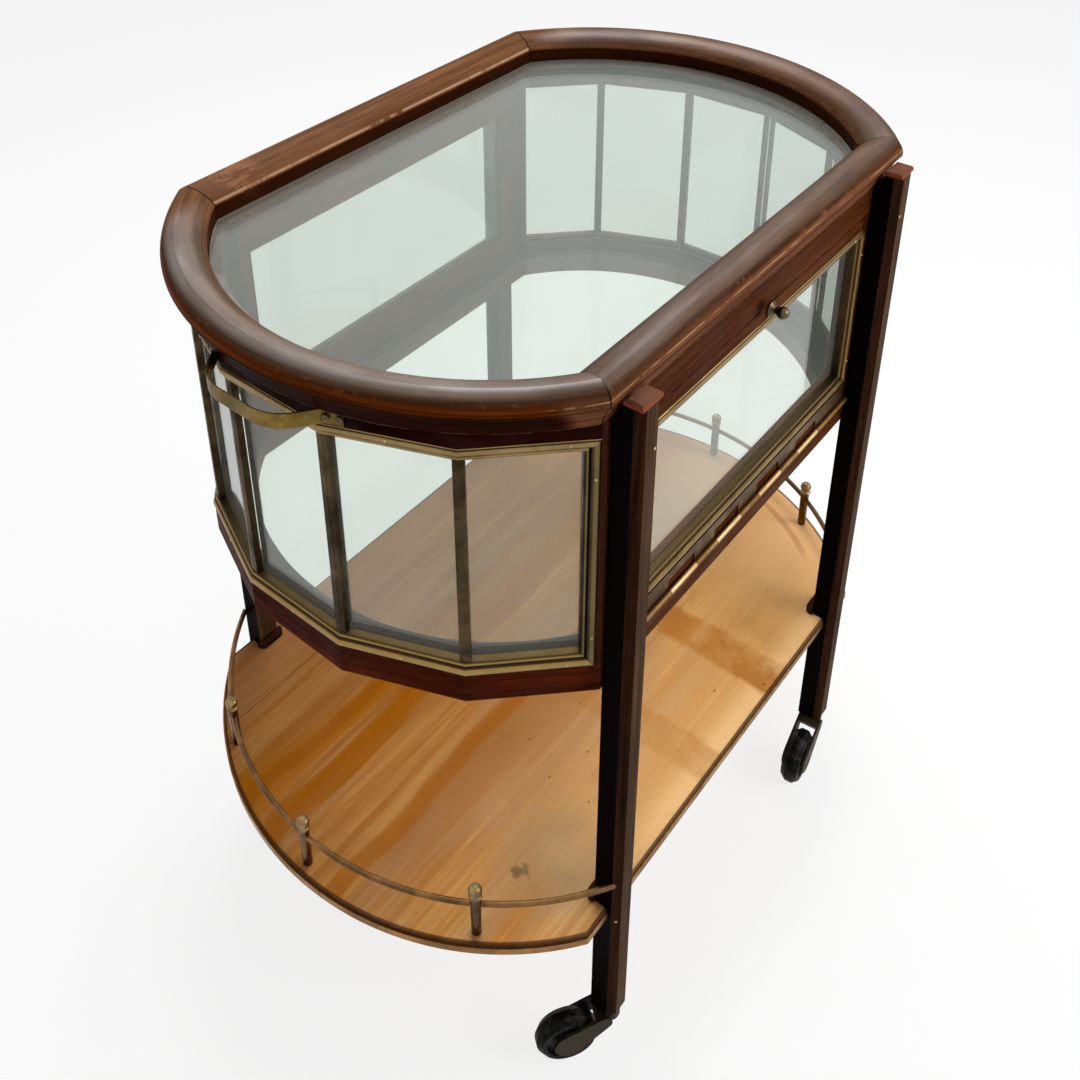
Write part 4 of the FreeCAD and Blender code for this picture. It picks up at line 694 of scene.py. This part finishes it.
def make_bead_brass(name, opening=None):
    """Olive brass with rubbed reeds under painted highlights and black quirks, with painted light and shade on its
    strips and painted shade where it turns in to the glass.
    """
    material, tree, shader, place, _ = new_finish(name, {"Metallic": 1.0})
    spot = place["Object"]
    tone, age, dirt = aged_metal(tree, spot, BEAD_BRIGHT, BEAD_DULL, BEAD_DARK)
    facing = apart(tree, place["Normal"])
    if opening:
        half, low, high = opening
        strip = effect(tree, FRAME_BEAD_DEPTH, Vector=spot, Half=half, Low=low, High=high)
        # Painted light: the uprights of an opening's bead made lighter.
        tone = lay(tree, tone, BEAD_LIT, strip["Upright"], 0.5)
        front = size_of(tree, facing[1])
    else:
        strip = effect(tree, END_BEAD_DEPTH, Vector=spot)
        # Painted shade on the end bead's uprights and painted light on its low strip.
        tone = lay(tree, tone, BEAD_DARK, strip["Upright"], 0.75)
        tone = lay(tree, tone, BEAD_LIT, strip["Low"], 0.7)
        front = slant(tree, facing[0], facing[1])
    lines = effect(tree, BEAD_LINES, Distance=strip["Distance"])
    tone = lay(tree, tone, BEAD_RUBBED_AND_LIT, lines["Light"], span(tree, strip["Upright"], 0.0, 1.0, 0.6, 0.35))
    tone = lay(tree, tone, BEAD_DARK, lines["Dark"], 0.88)
    # Painted shade on the faces that turn in to the glass.
    tone = lay(tree, tone, BEAD_TURNED_IN_SHADE, span(tree, front, 0.45, 0.75, 0.8, 0.0))
    finish_metal(tree, shader, tone, age, dirt, BEAD_SHINE)
    return material


LEAF_BRIGHT = colour(0.13, 0.070, 0.022)
LEAF_DULL = colour(0.075, 0.038, 0.012)


def make_hinge_brass(name, barrel_bright, barrel_dull):
    """A browned leaf with a rubbed barrel."""
    material, tree, shader, place, _ = new_finish(name, {"Metallic": 1.0})
    spot = place["Object"]
    tone, age, dirt = aged_metal(tree, spot, LEAF_BRIGHT, LEAF_DULL, BEAD_DARK)
    barrel = span(tree, size_of(tree, apart(tree, spot)[1]), HINGE_FACE, HINGE_FACE + 0.0006)
    tone = lay(tree, tone, blend(tree, age["Cloud"], barrel_bright, barrel_dull), barrel)
    finish_metal(tree, shader, tone, age, dirt, BEAD_SHINE)
    return material


def finish_caster(tree, shader, tone, age, smooth, rough, depth, edge_radius):
    feed(tree, shader.inputs["Base Color"], tone)
    feed(tree, shader.inputs["Roughness"], span(tree, age["Cloud"], 0.0, 1.0, smooth, rough))
    relief(tree, shader, age["Fine"], depth, edge_radius)


IRON_TONES = (colour(0.016, 0.0125, 0.006), colour(0.050, 0.038, 0.018))
IRON_RUST = colour(0.07, 0.045, 0.03)
IRON_WORN = colour(0.17, 0.15, 0.12)


def make_iron():
    material, tree, shader, place, _ = new_finish("black_iron", {"Metallic": 0.55, "IOR": SATIN_IOR})
    age = effect(tree, TARNISH, Vector=place["Object"], Scale=2.0)
    wear = effect(tree, WORN_EDGE, Vector=place["Object"], Radius=0.001, Breakup=260.0)
    tone = blend(tree, age["Cloud"], *IRON_TONES)
    tone = lay(tree, tone, IRON_RUST, age["Spots"], 0.4)
    tone = lay(tree, tone, IRON_WORN, wear["Wear"], 0.6)
    finish_caster(tree, shader, tone, age, 0.35, 0.55, 0.00006, 0.0005)
    return material


RUBBER_TONES = (colour(0.003, 0.003, 0.003), colour(0.008, 0.008, 0.007))
RUBBER_SCUFF = colour(0.10, 0.09, 0.075)
RUBBER_SPOT = colour(0.10, 0.095, 0.085)
RUBBER_WORN = colour(0.09, 0.085, 0.08)


def make_tyre():
    material, tree, shader, place, _ = new_finish("black_rubber", {"IOR": 1.12})
    spot = place["Object"]
    age = effect(tree, TARNISH, Vector=spot, Scale=2.0)
    wear = effect(tree, WORN_EDGE, Vector=spot, Radius=0.0015, Breakup=180.0)
    tone = blend(tree, age["Cloud"], *RUBBER_TONES)
    tone = lay(tree, tone, RUBBER_SCUFF, span(tree, mottle(tree, spot, 75.0, 5.0, 0.7), 0.52, 0.64), 0.28)
    tone = lay(tree, tone, RUBBER_SPOT, age["Spots"], 0.35)
    tone = lay(tree, tone, RUBBER_WORN, wear["Wear"], 0.35)
    finish_caster(tree, shader, tone, age, 0.3, 0.5, 0.0001, 0.001)
    return material


# Glass
GLASS_SMEAR = colour(0.84, 0.88, 0.85)
GLASS_SHADOW = colour(0.92, 0.95, 0.93)


def make_glass(name, tint, through, bend):
    """Old sheet glass with an even veil and a few smears."""
    material, tree, shader, place, surface = new_finish(
        name, {"Metallic": 0.0, "Roughness": 0.0, "IOR": bend, "Transmission Weight": through})
    smear = span(tree, mottle(tree, place["Object"], 14.0, 4.0, 0.6), 0.45, 0.75)
    feed(tree, shader.inputs["Base Color"], lay(tree, tint, GLASS_SMEAR, smear, 0.2))
    rays = put(tree, "ShaderNodeLightPath").outputs
    clear = put(tree, "ShaderNodeBsdfTransparent", {"Color": GLASS_SHADOW})
    seen_through = put(tree, "ShaderNodeMixShader",
                       {0: rays["Is Shadow Ray"], 1: shader.outputs["BSDF"], 2: clear.outputs["BSDF"]})
    feed(tree, surface.inputs["Surface"], seen_through.outputs["Shader"])
    return material


# Finishes of the pieces
RIM_RAIL_WOOD = make_rim_wood("rim_wood_straight", "along")
RIM_END_WOOD = make_rim_wood("rim_wood_round", "end")
FRIEZE_SHADED_WOOD = make_case_wood("frieze_shaded_wood", "end", FRIEZE_SHADED_TONES, polish=0.1, worn=0.15)
BASE_WOOD = make_case_wood("base_wood", "end", BASE_TONES, polish=0.05, ledge_shade=0.85)
SIDE_WOOD = make_case_wood("side_wood", "along", SIDE_TONES, polish=0.05)
STILE_WOOD = make_case_wood("stile_wood", "up", STILE_TONES, polish=0.1)
LEG_WOOD = make_leg_wood()
VENEER = make_veneer()
COLLAR_WOOD = make_collar_wood()
END_BEAD_BRASS = make_bead_brass("end_bead_brass")
DOOR_BEAD_BRASS = make_bead_brass("door_bead_brass", DOOR_BEAD)
BACK_BEAD_BRASS = make_bead_brass("back_bead_brass", BACK_BEAD)
DOOR_LEAF_BRASS = make_hinge_brass("door_leaf_brass", colour(0.26, 0.150, 0.048), colour(0.15, 0.080, 0.024))
CASE_LEAF_BRASS = make_hinge_brass("case_leaf_brass", colour(0.62, 0.41, 0.20), colour(0.46, 0.28, 0.12))
HANDLE_BRASS = make_brass("handle_brass", bright=colour(0.24, 0.155, 0.038), dull=colour(0.12, 0.078, 0.018),
                          dark=colour(0.04, 0.024, 0.006), shine=0.3, spots=0.6)
KNOB_BRASS = make_brass("knob_brass", bright=colour(0.12, 0.095, 0.055), dull=colour(0.05, 0.042, 0.025),
                        dark=colour(0.010, 0.008, 0.005), shine=0.22)
GALLERY_RAIL_BRASS = make_brass("gallery_rail_brass", bright=colour(0.25, 0.125, 0.048),
                                dull=colour(0.10, 0.051, 0.020), dark=colour(0.020, 0.009, 0.003), shine=0.28,
                                rubbed=colour(0.50, 0.34, 0.16))
GALLERY_POST_BRASS = make_brass("gallery_post_brass", bright=colour(0.15, 0.080, 0.030),
                                dull=colour(0.065, 0.034, 0.012), dark=colour(0.010, 0.004, 0.001), shine=0.22,
                                rubbed=colour(0.36, 0.25, 0.115), head=GALLERY_HEAD)
EDGE_BRASS = make_brass("shelf_edge_brass", bright=colour(0.34, 0.16, 0.038), dull=colour(0.19, 0.085, 0.020),
                        dark=colour(0.03, 0.014, 0.005))
BRONZE = make_brass("bar_bronze", bright=colour(0.085, 0.056, 0.025), dull=colour(0.030, 0.020, 0.0095),
                    dark=colour(0.010, 0.006, 0.004), shine=0.4, rubbed=colour(0.22, 0.155, 0.08))
PIN_BRASS = make_brass("pin_brass", bright=colour(0.52, 0.40, 0.22), dull=colour(0.34, 0.25, 0.12),
                       dark=colour(0.05, 0.03, 0.012), shine=0.22)
SCREW_BRASS = make_brass("screw_brass", bright=colour(0.22, 0.16, 0.07), dull=colour(0.12, 0.08, 0.035),
                         dark=colour(0.012, 0.008, 0.004), shine=0.3)
IRON = make_iron()
RUBBER = make_tyre()
TOP_GLASS = make_glass("top_glass", colour(0.79, 0.85, 0.81), through=0.93, bend=1.33)
PANE_GLASS = make_glass("pane_glass", colour(0.79, 0.85, 0.805), through=0.955, bend=1.35)
CLOUDED_GLASS = make_glass("clouded_glass", colour(0.69, 0.735, 0.70), through=0.955, bend=1.35)
FLOOR_GLASS = make_glass("floor_glass", colour(0.92, 0.945, 0.92), through=0.98, bend=1.25)

# The finish of each node, by the start of its name
FINISHES = {
    "rim_front": RIM_RAIL_WOOD, "rim_back": RIM_RAIL_WOOD, "rim_left": RIM_END_WOOD, "rim_right": RIM_END_WOOD,
    "frieze_": FRIEZE_SHADED_WOOD, "base_left": BASE_WOOD, "base_right": BASE_WOOD, "base_front": SIDE_WOOD,
    "base_back": SIDE_WOOD, "top_rail_": SIDE_WOOD, "door_rail_": SIDE_WOOD, "back_frame": SIDE_WOOD,
    "door_stile_": STILE_WOOD, "post_": STILE_WOOD, "leg_": LEG_WOOD, "shelf_panel": VENEER,
    "shelf_collars": COLLAR_WOOD, "top_glass": TOP_GLASS, "floor_glass": FLOOR_GLASS, "end_panes_left": PANE_GLASS,
    "end_panes_right": CLOUDED_GLASS, "door_glass": PANE_GLASS, "back_glass": CLOUDED_GLASS,
    "end_bead_": END_BEAD_BRASS, "door_bead": DOOR_BEAD_BRASS, "back_bead": BACK_BEAD_BRASS,
    "door_knob": KNOB_BRASS, "hinge_door_leaf": DOOR_LEAF_BRASS, "hinge_case_leaf": CASE_LEAF_BRASS,
    # The right gallery rail takes the darker post brass as painted shade.
    "handle": HANDLE_BRASS, "gallery_rail_left": GALLERY_RAIL_BRASS, "gallery_rail_right": GALLERY_POST_BRASS,
    "gallery_posts_": GALLERY_POST_BRASS, "shelf_edge_": EDGE_BRASS, "glazing_bars_": BRONZE,
    "caster_ferrules": IRON, "fork_": IRON, "wheel_": RUBBER,
}
for node_name, piece in cad.items():
    finish = next(value for start, value in FINISHES.items() if node_name.startswith(start))
    piece.data.materials.clear()
    piece.data.materials.append(finish)


# Bead pins and screw heads
HEAD_SEGMENTS = 16
HEAD_RINGS = 8
SLOT_RADII = 3.0
TWIST_SEED = 4


def make_stud_tree():
    """Domed heads on points, each turned to its own outward direction, slotted where asked."""
    tree = bpy.data.node_groups.new("studs", "GeometryNodeTree")
    tree.interface.new_socket("Geometry", in_out="OUTPUT", socket_type="NodeSocketGeometry")
    for label, kind in (("Geometry", "Geometry"), ("Radius", "Float"), ("Height", "Float"), ("Slot", "Float"),
                        ("Slotted", "Bool"), ("Finish", "Material")):
        tree.interface.new_socket(label, in_out="INPUT", socket_type="NodeSocket" + kind)
    given = put(tree, "NodeGroupInput").outputs
    radius, height = given["Radius"], given["Height"]
    ball = put(tree, "GeometryNodeMeshUVSphere", {"Segments": HEAD_SEGMENTS, "Rings": HEAD_RINGS, "Radius": radius})
    flat = put(tree, "ShaderNodeCombineXYZ", {"X": 1.0, "Y": 1.0, "Z": calc(tree, "DIVIDE", height, radius)})
    dome = put(tree, "GeometryNodeTransform", {"Geometry": ball.outputs["Mesh"], "Scale": flat.outputs["Vector"]})
    dome = dome.outputs["Geometry"]
    room = put(tree, "ShaderNodeCombineXYZ", {"X": times(tree, radius, SLOT_RADII), "Y": given["Slot"], "Z": height})
    block = put(tree, "GeometryNodeMeshCube", {"Size": room.outputs["Vector"]}).outputs["Mesh"]
    lift = put(tree, "ShaderNodeCombineXYZ", {"Z": height})
    slot = put(tree, "GeometryNodeTransform", {"Geometry": block, "Translation": lift.outputs["Vector"]})
    cut = put(tree, "GeometryNodeMeshBoolean", {"Mesh 1": dome, "Mesh 2": slot.outputs["Geometry"]},
              operation="DIFFERENCE").outputs["Mesh"]
    head = put(tree, "GeometryNodeSwitch", {"Switch": given["Slotted"], "False": dome, "True": cut},
               input_type="GEOMETRY").outputs["Output"]
    outward = put(tree, "GeometryNodeInputNamedAttribute", {"Name": "outward"}, data_type="FLOAT_VECTOR")
    aim = put(tree, "FunctionNodeAlignRotationToVector", {"Vector": outward.outputs["Attribute"]}, axis="Z")
    twist = put(tree, "FunctionNodeRandomValue", {3: math.pi, "Seed": TWIST_SEED}, data_type="FLOAT")
    spin = put(tree, "FunctionNodeAxisAngleToRotation", {"Axis": (0.0, 0.0, 1.0), "Angle": twist.outputs[1]})
    turn = put(tree, "FunctionNodeRotateRotation",
               {"Rotation": aim.outputs["Rotation"], "Rotate By": spin.outputs["Rotation"]}, rotation_space="LOCAL")
    heads = put(tree, "GeometryNodeInstanceOnPoints",
                {"Points": given["Geometry"], "Instance": head, "Rotation": turn.outputs["Rotation"]})
    real = put(tree, "GeometryNodeRealizeInstances", {"Geometry": heads.outputs["Instances"]})
    done = put(tree, "GeometryNodeSetMaterial", {"Geometry": real.outputs["Geometry"], "Material": given["Finish"]})
    put(tree, "NodeGroupOutput", {"Geometry": done.outputs["Geometry"]})
    return tree


STUDS = make_stud_tree()


def add_studs(name, body, spots, finish, radius, height, slot=0.0):
    """Studs at pairs of place and outward direction, as one mesh."""
    mesh = bpy.data.meshes.new(name + "_points")
    mesh.from_pydata([spot for spot, _ in spots], [], [])
    outward = mesh.attributes.new("outward", "FLOAT_VECTOR", "POINT")
    outward.data.foreach_set("vector", [part for _, facing in spots for part in facing])
    item = bpy.data.objects.new(name, mesh)
    bpy.context.scene.collection.objects.link(item)
    nodes = item.modifiers.new("studs", "NODES")
    nodes.node_group = STUDS
    values = {"Radius": radius, "Height": height, "Slot": slot, "Slotted": slot > 0.0, "Finish": finish}
    for socket in STUDS.interface.items_tree:
        if socket.in_out == "INPUT" and socket.name in values:
            nodes[socket.identifier] = values[socket.name]
    made = bpy.data.meshes.new_from_object(item.evaluated_get(bpy.context.evaluated_depsgraph_get()))
    item.modifiers.clear()
    item.data = made
    made.name = name
    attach(item, body)


def at_level(level):
    return Vector((0.0, 0.0, level))


def facet_axes(index, side):
    """Middle of a facet of one end, the way along it and the way out of it, in plan."""
    turn = (index - (FACETS - 1) / 2) * FACET_ANGLE
    outward = Vector((math.cos(turn), math.sin(turn), 0.0)) * side
    along = Vector((-math.sin(turn), math.cos(turn), 0.0)) * side
    return Vector((END_CENTRE * side, 0.0, 0.0)) + outward * CASE_APOTHEM, along, outward


def end_pin_spots():
    """Pins over and under each facet, moved towards the posts at the last ones, and beside the posts."""
    spots = []
    for side in (1, -1):
        for index in range(FACETS):
            middle, along, outward = facet_axes(index, side)
            face = middle + outward * (BEAD_PROUD - PIN_SUNK)
            to_post = {0: -1, FACETS - 1: 1}.get(index, 0)
            shift = along * (to_post * FACET_HALF / 2)
            for level in (BASE_TOP + BEAD_CROWN, FRIEZE_UNDER - BEAD_CROWN):
                spots.append((face + shift + at_level(level), outward))
            if to_post:
                strip = face + along * (to_post * (FACET_HALF - POST_SHOW - BEAD_CROWN))
                for level in (BASE_TOP + END_PIN_FROM_BASE, FRIEZE_UNDER - END_PIN_FROM_FRIEZE):
                    spots.append((strip + at_level(level), outward))
    return spots


def frame_pin_spots(opening, side):
    half, low, high = opening
    face = side * (CASE_HALF + BEAD_PROUD - PIN_SUNK)
    outward = Vector((0.0, side, 0.0))
    inset = half - FRAME_PIN_INSET
    spots = [(Vector((x, face, level)), outward) for x in (-inset, 0.0, inset)
             for level in (low + BEAD_CROWN, high - BEAD_CROWN)]
    spots += [(Vector((x, face, level)), outward) for x in (-half + BEAD_CROWN, half - BEAD_CROWN)
              for level in (low + FRAME_PIN_FROM_CORNER, high - FRAME_PIN_FROM_CORNER)]
    return spots


def handle_screw_spots():
    spots = []
    for index, way in ((1, -1), (3, 1)):
        middle, along, outward = facet_axes(index, -1)
        corner = middle - along * (way * FACET_HALF) + outward * HANDLE_STRAP
        for run in HANDLE_SCREWS:
            spots.append((corner + along * (way * run) + at_level(HANDLE_LEVEL), outward))
    return spots


def leg_screw_spots():
    """A screw in each leg's chamfer for the shelf and one in its outer face for the case."""
    spots = []
    for side_x in (-1, 1):
        for side_y in (-1, 1):
            chamfer = Vector((side_x * (LEG_X + LEG_CHAMFER[0]), side_y * (CASE_HALF + LEG_CHAMFER[1]),
                              SHELF_SCREW_LEVEL))
            outward = Vector((side_x * LEG_CHAMFER_FACING[0], side_y * LEG_CHAMFER_FACING[1], 0.0))
            spots.append((chamfer, outward))
            face = Vector((side_x * (LEG_X - CASE_SCREW_INSET), side_y * (CASE_HALF + LEG_DEPTH), CASE_SCREW_LEVEL))
            spots.append((face, Vector((0.0, side_y, 0.0))))
    return spots


add_studs("bead_pins", "cart", end_pin_spots() + frame_pin_spots(BACK_BEAD, 1), PIN_BRASS, **PIN_HEAD)
add_studs("door_bead_pins", "door", frame_pin_spots(DOOR_BEAD, -1), PIN_BRASS, **PIN_HEAD)
add_studs("handle_screws", "cart", handle_screw_spots(), SCREW_BRASS, **HANDLE_SCREW_HEAD)
add_studs("leg_screws", "cart", leg_screw_spots(), PIN_BRASS, **LEG_SCREW_HEAD)


# Studio
WHITE = colour(1.0, 1.0, 1.0)
FLOOR_TONES = (colour(0.9, 0.9, 0.9), colour(0.92, 0.92, 0.92))
FLOOR_REACH = 9.0
FLOOR_WHITENESS = 0.8
WORLD_LIGHT = 0.4


def seen_rays(tree):
    rays = put(tree, "ShaderNodeLightPath").outputs
    return most(tree, rays["Is Camera Ray"], rays["Is Glossy Ray"], rays["Is Transmission Ray"])


def make_floor_finish():
    """Pale floor that shows the shadow and looks near white to camera, metal and glass."""
    material = bpy.data.materials.new("pale_floor")
    material.use_nodes = True
    tree = material.node_tree
    tree.nodes.clear()
    place = put(tree, "ShaderNodeTexCoord").outputs["Object"]
    lit = put(tree, "ShaderNodeBsdfDiffuse", {"Color": blend(tree, mottle(tree, place, 3.0), *FLOOR_TONES)})
    white = put(tree, "ShaderNodeEmission", {"Color": WHITE, "Strength": 1.0})
    mixed = put(tree, "ShaderNodeMixShader", {0: times(tree, seen_rays(tree), FLOOR_WHITENESS),
                                              1: lit.outputs["BSDF"], 2: white.outputs["Emission"]})
    put(tree, "ShaderNodeOutputMaterial", {"Surface": mixed.outputs["Shader"]})
    return material


def make_world():
    """White to camera, metal and glass, and a soft light to the rest."""
    world = bpy.data.worlds.new("studio")
    world.use_nodes = True
    tree = world.node_tree
    tree.nodes.clear()
    strength = span(tree, seen_rays(tree), 0.0, 1.0, WORLD_LIGHT, 1.0)
    background = put(tree, "ShaderNodeBackground", {"Color": WHITE, "Strength": strength})
    put(tree, "ShaderNodeOutputWorld", {"Surface": background.outputs["Background"]})
    bpy.context.scene.world = world


def add_softbox(name, spot, aim, size, power):
    lamp = bpy.data.lights.new(name, "AREA")
    lamp.shape = "SQUARE"
    lamp.size = size
    lamp.energy = power
    item = bpy.data.objects.new(name, lamp)
    bpy.context.scene.collection.objects.link(item)
    item.location = spot
    item.rotation_euler = (Vector(aim) - Vector(spot)).to_track_quat("-Z", "Y").to_euler()
    item.visible_camera = False
    item.visible_transmission = False


def add_floor():
    mesh = bpy.data.meshes.new("floor")
    mesh.from_pydata([(-FLOOR_REACH, -FLOOR_REACH, 0.0), (FLOOR_REACH, -FLOOR_REACH, 0.0),
                      (FLOOR_REACH, FLOOR_REACH, 0.0), (-FLOOR_REACH, FLOOR_REACH, 0.0)], [], [(0, 1, 2, 3)])
    mesh.materials.append(make_floor_finish())
    floor = bpy.data.objects.new("floor", mesh)
    bpy.context.scene.collection.objects.link(floor)


def add_camera():
    """Camera at the photograph's place, with its focal length and framing in pixels of the photograph."""
    frame_size = 1080.0
    focal = 1240.4
    centre_x, centre_y = 481.1, 168.0
    spot = (-0.7513, -0.5686, 1.2491)
    azimuth, fall, roll = math.radians(49.41), math.radians(27.61), math.radians(-1.33)
    ahead = Vector((math.sin(azimuth) * math.cos(fall), math.cos(azimuth) * math.cos(fall), -math.sin(fall)))
    level = Vector((math.cos(azimuth), -math.sin(azimuth), 0.0))
    upward = level.cross(ahead)
    right = level * math.cos(roll) + upward * math.sin(roll)
    top = upward * math.cos(roll) - level * math.sin(roll)
    lens = bpy.data.cameras.new("camera")
    lens.sensor_width = 36.0
    lens.lens = lens.sensor_width * focal / frame_size
    lens.shift_x = 0.5 - centre_x / frame_size
    lens.shift_y = centre_y / frame_size - 0.5
    camera = bpy.data.objects.new("camera", lens)
    bpy.context.scene.collection.objects.link(camera)
    turn = Matrix((right, top, -ahead)).transposed()
    camera.matrix_world = Matrix.Translation(spot) @ turn.to_4x4()
    bpy.context.scene.camera = camera


make_world()
add_floor()
add_softbox("window", spot=(0.70, 0.45, 2.5), aim=(0.0, 0.0, 0.6), size=1.0, power=38.0)
add_softbox("fill", spot=(1.0, -2.2, 1.6), aim=(0.0, 0.0, 0.3), size=1.6, power=36.0)
add_camera()
bpy.context.scene.view_settings.view_transform = "Standard"
